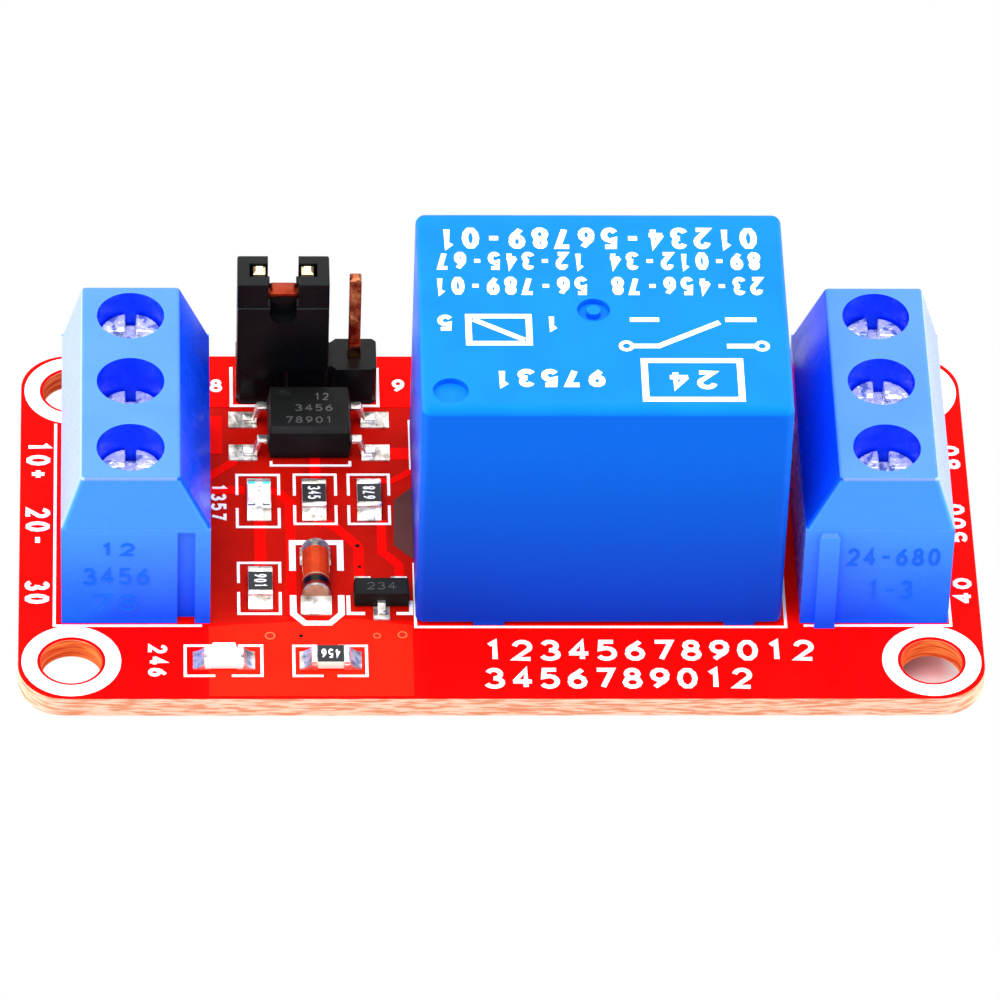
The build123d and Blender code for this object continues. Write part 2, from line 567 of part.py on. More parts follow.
def relay_cover():
    """Open-bottomed cover with rounded edges, foot tabs, a vent nib and a moulding gate."""
    with BuildPart() as cover:
        bar(relay_seat, (0, RELAY_LENGTH), (-RELAY_WIDTH / 2, RELAY_WIDTH / 2), (RELAY_LIFT, RELAY_HEIGHT))
        fillet(cover.edges().filter_by(Axis.Z), radius=COVER_EDGE_RADIUS)
        fillet(cover.faces().sort_by(Axis.Z)[-1].edges(), radius=COVER_EDGE_RADIUS)
        bar(relay_seat, COVER_INNER_X, (-COVER_INNER_Y, COVER_INNER_Y),
            (RELAY_LIFT, RELAY_HEIGHT - COVER_TOP_WALL), mode=Mode.SUBTRACT)
        for x in (COVER_LEFT_TAB, RELAY_LENGTH - COVER_RIGHT_TAB):
            for side in (-1, 1):
                tab_y = sorted((side * COVER_INNER_Y, side * RELAY_WIDTH / 2))
                bar(relay_seat, (x - COVER_TAB_LENGTH / 2, x + COVER_TAB_LENGTH / 2), tab_y, (0, RELAY_LIFT))
        recess_z = (RELAY_HEIGHT - VENT_DEPTH, RELAY_HEIGHT)
        disc(relay_seat, COIL_X, 0, VENT_RADIUS, recess_z, mode=Mode.SUBTRACT)
        disc(relay_seat, COIL_X, 0, VENT_NIB_RADIUS, recess_z)
        disc(relay_seat, GATE_INSET, -RELAY_WIDTH / 2 + GATE_INSET, GATE_RADIUS, recess_z,
             mode=Mode.SUBTRACT)
    return cover.part


def relay_base():
    """Moulded floor that closes the cover, with a foot at each corner and a hole for each leg."""
    inner_y = COVER_INNER_Y - BASE_FIT
    inner_x = (COVER_INNER_X[0] + BASE_FIT, COVER_INNER_X[1] - BASE_FIT)
    with BuildPart() as base:
        bar(relay_seat, inner_x, (-inner_y, inner_y), (RELAY_LIFT, BASE_TOP))
        for x in (inner_x[0], inner_x[1] - BASE_FOOT):
            for y in (-inner_y, inner_y - BASE_FOOT):
                bar(relay_seat, (x, x + BASE_FOOT), (y, y + BASE_FOOT), (0, RELAY_LIFT))
        for seat, x, y, leg_x, leg_y in all_legs():
            if seat is relay_seat:
                bar(seat, (x - leg_x / 2 - BASE_FIT, x + leg_x / 2 + BASE_FIT),
                    (y - leg_y / 2 - BASE_FIT, y + leg_y / 2 + BASE_FIT), (0, BASE_TOP), mode=Mode.SUBTRACT)
    return base.part


def relay_bobbin():
    with BuildPart() as bobbin:
        bar(relay_seat, BOBBIN_X, (-BOBBIN_HALF_WIDTH, BOBBIN_HALF_WIDTH),
            (YOKE_FLOOR_TOP, YOKE_FLOOR_TOP + BOBBIN_FLANGE))
        disc(relay_seat, COIL_X, 0, BOBBIN_BORE + BOBBIN_WALL, (YOKE_FLOOR_TOP, BOBBIN_TOP))
        bar(relay_seat, BOBBIN_X, (-BOBBIN_LENGTH / 2, BOBBIN_LENGTH / 2),
            (BOBBIN_TOP - BOBBIN_FLANGE, BOBBIN_TOP))
        disc(relay_seat, COIL_X, 0, BOBBIN_BORE, (YOKE_FLOOR_TOP, BOBBIN_TOP), mode=Mode.SUBTRACT)
        for side in (-1, 1):
            y = side * RELAY_LEG_Y
            half = COIL_LEG_SIDE / 2
            bar(relay_seat, (COIL_LEG_X - half, COIL_LEG_X + half), (y - half, y + half),
                (YOKE_FLOOR_TOP, YOKE_FLOOR_TOP + BOBBIN_FLANGE), mode=Mode.SUBTRACT)
    return bobbin.part


def relay_winding():
    span = (YOKE_FLOOR_TOP + BOBBIN_FLANGE, BOBBIN_TOP - BOBBIN_FLANGE)
    with BuildPart() as winding:
        disc(relay_seat, COIL_X, 0, WINDING_RADIUS, span)
        disc(relay_seat, COIL_X, 0, BOBBIN_BORE + BOBBIN_WALL, span, mode=Mode.SUBTRACT)
    return winding.part


def relay_core():
    with BuildPart() as core:
        disc(relay_seat, COIL_X, 0, CORE_RADIUS, (BASE_TOP, BOBBIN_TOP))
        disc(relay_seat, COIL_X, 0, POLE_CAP_RADIUS, (BOBBIN_TOP, YOKE_TOP - POLE_GAP))
    return core.part


def relay_yoke():
    """Bent iron frame: its floor holds the core and its upright carries the armature."""
    section = [
        (YOKE_OUTER_X, BASE_TOP), (BOBBIN_X[1], BASE_TOP), (BOBBIN_X[1], YOKE_FLOOR_TOP),
        (YOKE_INNER_X, YOKE_FLOOR_TOP), (YOKE_INNER_X, YOKE_TOP), (YOKE_OUTER_X, YOKE_TOP),
    ]
    with BuildPart() as yoke:
        slab(along(relay_seat), section, YOKE_WIDTH)
        disc(relay_seat, COIL_X, 0, CORE_RADIUS, (BASE_TOP, YOKE_FLOOR_TOP), mode=Mode.SUBTRACT)
    return yoke.part


def relay_armature():
    """Iron plate that tips on the yoke's edge."""
    with BuildPart() as armature:
        bar(armature_seat, (0, ARMATURE_LENGTH), (-YOKE_WIDTH / 2, YOKE_WIDTH / 2), (0, ARMATURE_THICKNESS))
    return armature.part


def relay_contact_blade():
    """Spring blade: a leg behind the yoke, a wide part on the armature and a contact arm."""
    half = BLADE_THICKNESS / 2
    leg_x = -BLADE_LEG_GAP - half
    path = [
        (leg_x, -BLADE_LEG_LENGTH), (leg_x, BLADE_TOP - half),
        (CONTACT_REACH + CONTACT_RADIUS, BLADE_TOP - half),
    ]
    with BuildPart() as blade:
        bent_strip(along(armature_seat), path, BLADE_LEG_GAP + half, BLADE_THICKNESS, BLADE_ARM_WIDTH)
        bar(armature_seat, (BLADE_SHOULDER_GAP, ARMATURE_LENGTH), (-YOKE_WIDTH / 2, YOKE_WIDTH / 2),
            (ARMATURE_THICKNESS, BLADE_TOP))
        disc(armature_seat, CONTACT_REACH, 0, CONTACT_RADIUS,
             (ARMATURE_THICKNESS - CONTACT_HEIGHT, BLADE_TOP + CONTACT_HEIGHT))
    return blade.part


def relay_common_terminal():
    """Strip down the yoke's outer face, narrowed to a leg where it goes through the base."""
    x = (YOKE_OUTER_X - RELAY_SHEET, YOKE_OUTER_X)
    leg_x = (COMMON_LEG_X - RELAY_SHEET / 2, COMMON_LEG_X + RELAY_SHEET / 2)
    head_z = (BASE_TOP, HINGE_Z - BLADE_LEG_LENGTH - YOKE_THICKNESS / 2)
    with BuildPart() as terminal:
        bar(relay_seat, x, (-BLADE_ARM_WIDTH / 2, BLADE_ARM_WIDTH / 2), head_z)
        bar(relay_seat, leg_x, (-RELAY_LEG_WIDTH / 2, RELAY_LEG_WIDTH / 2), (LEG_END, BASE_TOP))
    return terminal.part


def relay_fixed_terminal(side, contact_z, contact_up):
    """Leg, riser and arm of one fixed contact. contact_z is the face that the blade meets."""
    x = (CONTACT_LEG_X - RELAY_SHEET / 2, CONTACT_LEG_X + RELAY_SHEET / 2)
    riser_y = sorted((side * (RELAY_LEG_Y + RELAY_LEG_WIDTH / 2),
                      side * (RELAY_LEG_Y + RELAY_LEG_WIDTH / 2 - RISER_WIDTH)))
    if contact_up:
        arm_z = (contact_z - CONTACT_HEIGHT - RELAY_SHEET, contact_z - CONTACT_HEIGHT)
        rivet_z = (arm_z[1], contact_z)
    else:
        arm_z = (contact_z + CONTACT_HEIGHT, contact_z + CONTACT_HEIGHT + RELAY_SHEET)
        rivet_z = (contact_z, arm_z[0])
    arm_y = sorted((side * (RELAY_LEG_Y + RELAY_LEG_WIDTH / 2), -side * CONTACT_RADIUS))
    with BuildPart() as terminal:
        leg_y = (side * RELAY_LEG_Y - RELAY_LEG_WIDTH / 2, side * RELAY_LEG_Y + RELAY_LEG_WIDTH / 2)
        bar(relay_seat, x, leg_y, (LEG_END, BASE_TOP))
        bar(relay_seat, x, riser_y, (BASE_TOP, arm_z[1]))
        bar(relay_seat, (CONTACT_X - CONTACT_RADIUS, x[1]), arm_y, arm_z)
        disc(relay_seat, CONTACT_X, 0, CONTACT_RADIUS, rivet_z)
    return terminal.part


def relay_coil_legs():
    half = COIL_LEG_SIDE / 2
    with BuildPart() as legs:
        for side in (-1, 1):
            y = side * RELAY_LEG_Y
            bar(relay_seat, (COIL_LEG_X - half, COIL_LEG_X + half), (y - half, y + half),
                (LEG_END, YOKE_FLOOR_TOP + BOBBIN_FLANGE))
    return legs.part


def header_housing():
    """Strip of square poles with notched corners, holding the posts."""
    length = HEADER_POSTS * HEADER_PITCH - 2 * HEADER_END_TRIM
    with BuildPart() as housing:
        with BuildSketch(header_seat):
            Rectangle(length, HEADER_DEPTH)
            for side in (-1, 1):
                with Locations((0, side * HEADER_DEPTH / 2)):
                    with GridLocations(HEADER_PITCH, 1, HEADER_POSTS + 1, 1):
                        Rectangle(HEADER_NOTCH, HEADER_NOTCH, rotation=45, mode=Mode.SUBTRACT)
            with GridLocations(HEADER_PITCH, 1, HEADER_POSTS, 1):
                Rectangle(POST_SIDE, POST_SIDE, mode=Mode.SUBTRACT)
        extrude(amount=HEADER_HEIGHT)
    return housing.part


def header_post(index):
    """Square post with chamfered tips."""
    x = (index - (HEADER_POSTS - 1) / 2) * HEADER_PITCH
    half = POST_SIDE / 2
    with BuildPart() as post:
        bar(header_seat, (x - half, x + half), (-half, half), (LEG_END, HEADER_HEIGHT + POST_HEIGHTS[index]))
        ends = post.edges().group_by(Axis.Z)[0] + post.edges().group_by(Axis.Z)[-1]
        chamfer(ends, length=POST_TIP)
    return post.part


def jumper_cap():
    """Moulded cap: two towers over a shared body, a pocket round each post and a scoop at front and back."""
    half_length, half_depth = CAP_LENGTH / 2, CAP_DEPTH / 2
    slot_half = half_length - CAP_TOWER_WIDTH
    post_x = HEADER_PITCH / 2
    pocket_y = CLIP_WIDTH / 2 + CLIP_GAP
    with BuildPart() as cap:
        bar(cap_seat, (-half_length, half_length), (-half_depth, half_depth), (0, CAP_HEIGHT))
        bar(cap_seat, (-slot_half, slot_half), (-half_depth, half_depth),
            (CAP_SLOT_FLOOR, CAP_HEIGHT), mode=Mode.SUBTRACT)
        for y in (-half_depth, half_depth - CAP_LEDGE_DEPTH):
            bar(cap_seat, (-half_length, half_length), (y, y + CAP_LEDGE_DEPTH),
                (CAP_LEDGE_HEIGHT, CAP_HEIGHT), mode=Mode.SUBTRACT)
        clip_top = CAP_SLOT_FLOOR + CLIP_THICKNESS
        tip_half = POST_SIDE / 2 + CAP_POCKET_CLEARANCE
        for side in (-1, 1):
            inner = post_x - POST_SIDE / 2 - 2 * CLIP_GAP - CLIP_THICKNESS
            outer = post_x + POST_SIDE / 2 + CAP_POCKET_CLEARANCE
            pocket_x = sorted((side * inner, side * outer))
            bar(cap_seat, pocket_x, (-pocket_y, pocket_y), (0, clip_top), mode=Mode.SUBTRACT)
            bar(cap_seat, pocket_x, (-tip_half, tip_half), (clip_top, CAP_HEIGHT), mode=Mode.SUBTRACT)
            with BuildSketch(along(cap_seat, side * half_depth)) as scoop:
                with Locations((0, CAP_SLOT_FLOOR - CAP_SCOOP_DROP)):
                    Circle(CAP_SCOOP_RADIUS)
                with Locations((0, CAP_SLOT_FLOOR)):
                    Rectangle(2 * CAP_SCOOP_RADIUS, 2 * CAP_SCOOP_DROP)
            extrude(scoop.sketch, amount=side * CAP_SCOOP_DEPTH, mode=Mode.SUBTRACT)
    return cap.part


def jumper_clip():
    """Bent clip in the cap that joins the two posts."""
    x = HEADER_PITCH / 2 - POST_SIDE / 2 - CLIP_GAP - CLIP_THICKNESS / 2
    top = CAP_SLOT_FLOOR + CLIP_THICKNESS / 2
    path = [(-x, top - CLIP_LENGTH), (-x, top), (x, top), (x, top - CLIP_LENGTH)]
    with BuildPart() as clip:
        bent_strip(along(cap_seat), path, CLIP_BEND_RADIUS, CLIP_THICKNESS, CLIP_WIDTH)
    return clip.part


def moulded_body(seat, length, width, floor, parting, top, draft):
    """Small moulded package, drafted both ways from its parting line."""
    with BuildPart() as body:
        with BuildSketch(seat.offset(parting)) as outline:
            Rectangle(length, width)
        extrude(outline.sketch, amount=top - parting, taper=draft)
        extrude(outline.sketch, amount=floor - parting, taper=draft)
    return body.part


def optocoupler_body():
    top = OPTO_PARTING + OPTO_UPPER_HEIGHT
    shell = moulded_body(opto_seat, OPTO_LENGTH, OPTO_WIDTH, OPTO_STANDOFF, OPTO_PARTING, top, OPTO_DRAFT)
    with BuildPart() as body:
        add(shell)
        front_edge = body.faces().sort_by(Axis.Z)[-1].edges().sort_by(Axis.Y)[0]
        chamfer(front_edge, length=OPTO_BEVEL)
        mark_x = -OPTO_LENGTH / 2 + 2 * OPTO_DIMPLE_RADIUS
        mark_y = OPTO_WIDTH / 2 - 2 * OPTO_DIMPLE_RADIUS
        disc(opto_seat, mark_x, mark_y, OPTO_DIMPLE_RADIUS, (top - OPTO_DIMPLE_DEPTH, top),
             mode=Mode.SUBTRACT)
    return body.part


def gull_lead(plane, side, body_half, length, exit_z, sheet, width, knee):
    """Lead from a package's side: a shoulder, a steep leg past the knee and a flat foot on its pad."""
    body, tip = side * body_half, side * (body_half + length)
    top, foot = exit_z + sheet / 2, SOLDER_FILM + sheet
    near, far = body + side * (knee - sheet), body + side * (knee + sheet)
    outline = [
        (body, top - sheet), (near, top - sheet), (far - side * sheet, SOLDER_FILM), (tip, SOLDER_FILM),
        (tip, foot), (far, foot), (near + side * sheet, top), (body, top),
    ]
    slab(plane, outline, width)


def optocoupler_leads():
    with BuildPart() as leads:
        for side in (-1, 1):
            for y in (-OPTO_LEAD_PITCH / 2, OPTO_LEAD_PITCH / 2):
                gull_lead(along(opto_seat, y), side, OPTO_LENGTH / 2, OPTO_LEAD_LENGTH, OPTO_PARTING,
                          OPTO_LEAD_SHEET, OPTO_LEAD_WIDTH, OPTO_LEAD_KNEE)
    return leads.part


def resistor_body(seat):
    half = CHIP_LENGTH / 2 - CHIP_CAP_LENGTH
    with BuildPart() as body:
        bar(seat, (-half, half), (-CHIP_WIDTH / 2, CHIP_WIDTH / 2),
            (SOLDER_FILM, SOLDER_FILM + CHIP_HEIGHT))
    return body.part


def resistor_end_caps(seats):
    wrapped = CHIP_WIDTH / 2 + CHIP_CAP_WRAP
    with BuildPart() as caps:
        for seat in seats:
            for side in (-1, 1):
                x = sorted((side * CHIP_LENGTH / 2, side * (CHIP_LENGTH / 2 - CHIP_CAP_LENGTH)))
                bar(seat, x, (-wrapped, wrapped), (SOLDER_FILM, SOLDER_FILM + CHIP_HEIGHT + CHIP_CAP_WRAP))
    return caps.part


def led_base(seat):
    """Small printed base with a half-round plated notch in each end."""
    with BuildPart() as base:
        with BuildSketch(seat.offset(SOLDER_FILM)):
            Rectangle(CHIP_LENGTH, CHIP_WIDTH)
            with Locations((-CHIP_LENGTH / 2, 0), (CHIP_LENGTH / 2, 0)):
                Circle(CHIP_CAP_LENGTH / 2, mode=Mode.SUBTRACT)
        extrude(amount=LED_BASE_HEIGHT)
    return base.part


def led_lens(seat):
    with BuildPart() as lens:
        with BuildSketch(seat.offset(SOLDER_FILM + LED_BASE_HEIGHT)):
            Rectangle(CHIP_LENGTH - 2 * LED_LENS_MARGIN, CHIP_WIDTH)
        extrude(amount=LED_LENS_HEIGHT, taper=LED_LENS_DRAFT)
    return lens.part


def diode_glass():
    half = DIODE_LENGTH / 2 - DIODE_CAP_LENGTH
    centre_z = SOLDER_FILM + DIODE_RADIUS
    with BuildPart() as glass:
        with BuildSketch(across(diode_seat, -half)) as ring:
            with Locations((0, centre_z)):
                Circle(DIODE_RADIUS)
                Circle(DIODE_BORE, mode=Mode.SUBTRACT)
        extrude(ring.sketch, amount=2 * half)
    return glass.part


def diode_end_caps():
    """Round end caps, each with a slug that reaches down the glass tube to the chip."""
    half = DIODE_LENGTH / 2 - DIODE_CAP_LENGTH
    centre_z = SOLDER_FILM + DIODE_RADIUS
    with BuildPart() as caps:
        for side in (-1, 1):
            with BuildSketch(across(diode_seat, side * half)) as face:
                with Locations((0, centre_z)):
                    Circle(DIODE_RADIUS)
            extrude(face.sketch, amount=side * DIODE_CAP_LENGTH)
            with BuildSketch(across(diode_seat, side * half)) as slug:
                with Locations((0, centre_z)):
                    Circle(DIODE_BORE)
            extrude(slug.sketch, amount=-side * (half - DIODE_CHIP_LENGTH / 2))
    return caps.part


def diode_chip():
    centre_z = SOLDER_FILM + DIODE_RADIUS
    with BuildPart() as chip:
        with BuildSketch(across(diode_seat, -DIODE_CHIP_LENGTH / 2)) as face:
            with Locations((0, centre_z)):
                Circle(DIODE_BORE)
        extrude(face.sketch, amount=DIODE_CHIP_LENGTH)
    return chip.part


def transistor_leads():
    """Two leads at the back and one in the middle of the front."""
    with BuildPart() as leads:
        for x, side in ((-TRANSISTOR_LEAD_PITCH, 1), (TRANSISTOR_LEAD_PITCH, 1), (0, -1)):
            gull_lead(across(transistor_seat, x), side, TRANSISTOR_WIDTH / 2, TRANSISTOR_LEAD_LENGTH,
                      TRANSISTOR_PARTING, TRANSISTOR_LEAD_SHEET, TRANSISTOR_LEAD_WIDTH,
                      TRANSISTOR_LEAD_LENGTH / 2)
    return leads.part


def solder_wedge(seat, end, reach, width, height):
    """Hollow-faced solder from the end of a part down to the far edge of its pad."""
    outward = 1 if end > 0 else -1
    film = SOLDER_FILM
    far = end + outward * reach
    hollow_x = end + outward * reach * SOLDER_HOLLOW_REACH
    hollow_z = film + (height - film) * SOLDER_HOLLOW_RISE
    with BuildSketch(along(seat)) as outline:
        with BuildLine():
            Polyline((end, height), (end, 0), (far, 0), (far, film))
            ThreePointArc((far, film), (hollow_x, hollow_z), (end, height))
        make_face()
    extrude(outline.sketch, amount=width / 2, both=True)


def surface_solder():
    """Solder on every surface pad: a film under each part's ends and a wedge beyond them."""
    with BuildPart() as solder:
        for seat in [seat_at(*place) for place in (*RESISTOR_PLACES, *LED_PLACES.values())]:
            for side in (-1, 1):
                end = side * CHIP_LENGTH / 2
                height = SOLDER_FILM + LED_BASE_HEIGHT
                solder_wedge(seat, end, CHIP_SOLDER_LENGTH, CHIP_WIDTH, height)
                bar(seat, sorted((end, end - side * CHIP_CAP_LENGTH)), (-CHIP_WIDTH / 2, CHIP_WIDTH / 2),
                    (0, SOLDER_FILM))
        for side in (-1, 1):
            end = side * DIODE_LENGTH / 2
            solder_wedge(diode_seat, end, DIODE_SOLDER_LENGTH, DIODE_SOLDER_WIDTH, DIODE_RADIUS)
            bar(diode_seat, sorted((end, end - side * DIODE_CAP_LENGTH)),
                (-DIODE_SOLDER_WIDTH / 2, DIODE_SOLDER_WIDTH / 2), (0, SOLDER_FILM))
        for side in (-1, 1):
            for y in (-OPTO_LEAD_PITCH / 2, OPTO_LEAD_PITCH / 2):
                knee = OPTO_LENGTH / 2 + OPTO_LEAD_KNEE
                x = sorted((side * knee, side * (knee + OPTO_PAD_LENGTH)))
                bar(opto_seat, x, (y - OPTO_PAD_WIDTH / 2, y + OPTO_PAD_WIDTH / 2), (0, SOLDER_FILM))
        for x, side in ((-TRANSISTOR_LEAD_PITCH, 1), (TRANSISTOR_LEAD_PITCH, 1), (0, -1)):
            near = TRANSISTOR_WIDTH / 2
            y = sorted((side * near, side * (near + TRANSISTOR_PAD_LENGTH)))
            bar(transistor_seat, (x - TRANSISTOR_PAD_WIDTH / 2, x + TRANSISTOR_PAD_WIDTH / 2), y,
                (0, SOLDER_FILM))
    return solder.part


def export_all():
    save(circuit_board(), "circuit_board")
    save(through_hole_solder(), "through_hole_solder")
    save(surface_solder(), "surface_solder")

    blocks = (("input", input_seat, INPUT_X, 0, INPUT_SCREW_DEPTHS),
              ("output", output_seat, OUTPUT_X, 180, OUTPUT_SCREW_DEPTHS))
    for name, seat, x, turn, depths in blocks:
        save(terminal_housing(seat), f"{name}_terminal_housing")
        for number, (pole_seat, depth) in enumerate(zip(pole_seats(x, turn), depths), start=1):
            save(terminal_frame(pole_seat), f"{name}_clamp_frame_{number}")
            save(wire_guard(pole_seat, depth), f"{name}_wire_guard_{number}")
            save(terminal_screw(pole_seat, depth), f"{name}_screw_{number}")

    save(relay_cover(), "relay_cover")
    save(relay_base(), "relay_base")
    save(relay_bobbin(), "relay_bobbin")
    save(relay_winding(), "relay_winding")
    save(relay_core(), "relay_core")
    save(relay_yoke(), "relay_yoke")
    save(relay_armature(), "relay_armature")
    save(relay_contact_blade(), "relay_contact_blade")
    save(relay_common_terminal(), "relay_common_terminal")
    save(relay_fixed_terminal(1, OPEN_CONTACT_Z, True), "relay_open_contact")
    save(relay_fixed_terminal(-1, CLOSED_CONTACT_Z, False), "relay_closed_contact")
    save(relay_coil_legs(), "relay_coil_legs")

    save(header_housing(), "header_housing")
    for index in range(HEADER_POSTS):
        save(header_post(index), f"header_post_{index + 1}")
    save(jumper_cap(), "jumper_cap")
    save(jumper_clip(), "jumper_clip")

    save(optocoupler_body(), "optocoupler_body")
    save(optocoupler_leads(), "optocoupler_leads")

    resistor_seats = [seat_at(*place) for place in RESISTOR_PLACES]
    for number, seat in enumerate(resistor_seats, start=1):
        save(resistor_body(seat), f"resistor_{number}")
    save(resistor_end_caps(resistor_seats), "resistor_end_caps")
    for name, place in LED_PLACES.items():
        save(led_base(seat_at(*place)), f"{name}_base")
        save(led_lens(seat_at(*place)), f"{name}_lens")

    save(diode_glass(), "diode_glass")
    save(diode_end_caps(), "diode_end_caps")
    save(diode_chip(), "diode_chip")
    save(moulded_body(transistor_seat, TRANSISTOR_LENGTH, TRANSISTOR_WIDTH, TRANSISTOR_STANDOFF,
                      TRANSISTOR_PARTING, TRANSISTOR_PARTING + TRANSISTOR_UPPER_HEIGHT, TRANSISTOR_DRAFT),
         "transistor_body")
    save(transistor_leads(), "transistor_leads")


os.makedirs("parts", exist_ok=True)
export_all()
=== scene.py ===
import json
from math import cos, pi, radians, sin

import bmesh
import bpy
from mathutils import Matrix, Vector


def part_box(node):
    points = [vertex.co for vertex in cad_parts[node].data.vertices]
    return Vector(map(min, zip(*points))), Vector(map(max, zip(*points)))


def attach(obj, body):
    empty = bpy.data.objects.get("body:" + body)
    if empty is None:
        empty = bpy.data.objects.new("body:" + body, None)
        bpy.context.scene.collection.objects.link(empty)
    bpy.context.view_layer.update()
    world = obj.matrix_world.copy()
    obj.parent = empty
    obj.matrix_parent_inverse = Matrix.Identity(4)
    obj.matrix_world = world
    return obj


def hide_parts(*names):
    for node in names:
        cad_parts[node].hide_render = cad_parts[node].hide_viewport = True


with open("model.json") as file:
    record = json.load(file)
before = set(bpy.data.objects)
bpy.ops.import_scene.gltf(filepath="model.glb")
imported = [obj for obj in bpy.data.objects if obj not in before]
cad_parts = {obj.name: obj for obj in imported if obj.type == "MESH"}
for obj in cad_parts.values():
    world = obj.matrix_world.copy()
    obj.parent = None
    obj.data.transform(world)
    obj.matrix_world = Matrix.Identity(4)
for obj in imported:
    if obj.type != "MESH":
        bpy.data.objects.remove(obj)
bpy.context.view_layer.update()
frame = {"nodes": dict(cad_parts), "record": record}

MM = 0.001
nodes = frame["nodes"]


def mm(*values):
    """A point or size in millimetres, in Blender's metres."""
    return Vector(value * MM for value in values)


def span(node, axis):
    """Lowest and highest place of a CAD node along an axis, in millimetres."""
    low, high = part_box(node)
    return low[axis] / MM, high[axis] / MM


# Places taken from the frame, in millimetres
BOARD_X = span("circuit_board", 0)
BOARD_Y = span("circuit_board", 1)
BOARD_TOP = span("circuit_board", 2)[1]
FLOOR = span("header_post_1", 2)[0]
RELAY_TOP = span("relay_cover", 2)[1]

# Thickness of the layers on the board, and how deep each starts inside what it lies on. A few thousandths of
# a millimetre in the heights further down keep layers that cross from sharing a face.
COPPER = 0.03
INK = 0.02
SUNK = 0.01


# Materials. Noise mostly lies between 0.3 and 0.7, and ranged() stretches a part of that to the full range.

def tree_of(name, colour, roughness, metallic=0.0, **sockets):
    """A new material: its node tree and its shader, with constants set on the shader itself."""
    material = bpy.data.materials.new(name)
    material.use_nodes = True
    tree = material.node_tree
    shader = tree.nodes["Principled BSDF"]
    shader.inputs["Base Color"].default_value = (*colour, 1)
    shader.inputs["Roughness"].default_value = roughness
    shader.inputs["Metallic"].default_value = metallic
    for socket, value in sockets.items():
        value = (*value, 1) if isinstance(value, tuple) else value
        shader.inputs[socket.replace("_", " ").replace("Ior", "IOR")].default_value = value
    return material, tree, shader


def add(tree, kind, **settings):
    """A new node, its properties and input values set by name."""
    node = tree.nodes.new(kind)
    for key, value in settings.items():
        if hasattr(node, key):
            setattr(node, key, value)
        else:
            node.inputs[key.replace("_", " ").title()].default_value = value
    return node


def noise_at(tree, size, detail=3.0, stretch=(1, 1, 1)):
    """Noise with features of about this size in millimetres, from object coordinates."""
    coordinates = tree.nodes.new("ShaderNodeTexCoord")
    mapping = tree.nodes.new("ShaderNodeMapping")
    mapping.inputs["Scale"].default_value = stretch
    texture = add(tree, "ShaderNodeTexNoise", Scale=1 / (size * MM), Detail=detail)
    tree.links.new(coordinates.outputs["Object"], mapping.inputs["Vector"])
    tree.links.new(mapping.outputs["Vector"], texture.inputs["Vector"])
    return texture.outputs["Fac"]


def blend_of(tree, factor, first, second):
    """The mix of two colours by a factor. Either colour may be a socket or three numbers.

    The colours of a mix node are its inputs 6 and 7, and the mixed one is its output 2.
    """
    mix = tree.nodes.new("ShaderNodeMix")
    mix.data_type = "RGBA"
    tree.links.new(factor, mix.inputs["Factor"])
    for socket, value in ((mix.inputs[6], first), (mix.inputs[7], second)):
        if isinstance(value, tuple):
            socket.default_value = (*value, 1)
        else:
            tree.links.new(value, socket)
    return mix.outputs[2]


def ranged(tree, value, low, high, to_low=0.0, to_high=1.0):
    """A value carried from one range to another and kept inside it."""
    node = tree.nodes.new("ShaderNodeMapRange")
    tree.links.new(value, node.inputs["Value"])
    for socket, number in zip(("From Min", "From Max", "To Min", "To Max"), (low, high, to_low, to_high)):
        node.inputs[socket].default_value = number
    return node.outputs["Result"]


def roughen(tree, shader, size, low, high):
    """Roughness that wanders between two values."""
    tree.links.new(ranged(tree, noise_at(tree, size), 0.35, 0.65, low, high), shader.inputs["Roughness"])


def emboss(tree, shader, height, depth):
    """Bump from a height socket, depth in millimetres."""
    bump = add(tree, "ShaderNodeBump", Strength=1.0, Distance=depth * MM)
    tree.links.new(height, bump.inputs["Height"])
    tree.links.new(bump.outputs["Normal"], shader.inputs["Normal"])


def combined(tree, operation, *values):
    """What a math node makes of its values, which may be sockets or numbers."""
    node = add(tree, "ShaderNodeMath", operation=operation)
    for socket, value in zip(node.inputs, values):
        if isinstance(value, float):
            socket.default_value = value
        else:
            tree.links.new(value, socket)
    return node.outputs["Value"]


def split_of(tree, kind, output):
    """A vector output of a new node, as X, Y and Z sockets."""
    split = tree.nodes.new("ShaderNodeSeparateXYZ")
    tree.links.new(tree.nodes.new(kind).outputs[output], split.inputs["Vector"])
    return split.outputs


def place_split(tree):
    """The object coordinates of a point, as X, Y and Z sockets in metres."""
    return split_of(tree, "ShaderNodeTexCoord", "Object")


def normal_split(tree):
    """The normal of a face, as X, Y and Z sockets."""
    return split_of(tree, "ShaderNodeNewGeometry", "True Normal")


def side_factor(tree, steep=0.5, flat=0.6):
    """1 on walls and 0 on level faces. steep and flat are upward parts of the normal."""
    return ranged(tree, combined(tree, "ABSOLUTE", normal_split(tree)["Z"]), steep, flat, 1, 0)


def moulded(name, colour, tint, roughness, grain=0.12, depth=0.002, walls=None, heights=None, **sockets):
    """Moulded plastic: cloudy colour, uneven gloss and a fine moulded grain.

    walls are two colours for its upright faces, at the lower and the upper of two heights in millimetres:
    painted shade that changes up the walls.
    """
    material, tree, shader = tree_of(name, colour, roughness[0], **sockets)
    clouds = ranged(tree, noise_at(tree, 3.5), 0.35, 0.7)
    cloudy = blend_of(tree, clouds, colour, tint)
    if walls:
        # painted shade up the upright faces, from the first colour at the lower height to the second at the
        # upper
        wall_shade_climb = ranged(tree, place_split(tree)["Z"], heights[0] * MM, heights[1] * MM)
        cloudy = blend_of(tree, side_factor(tree, 0.2, 0.3), cloudy, blend_of(tree, wall_shade_climb, *walls))
    tree.links.new(cloudy, shader.inputs["Base Color"])
    roughen(tree, shader, 1.1, *roughness)
    emboss(tree, shader, noise_at(tree, grain, 2), depth)
    return material


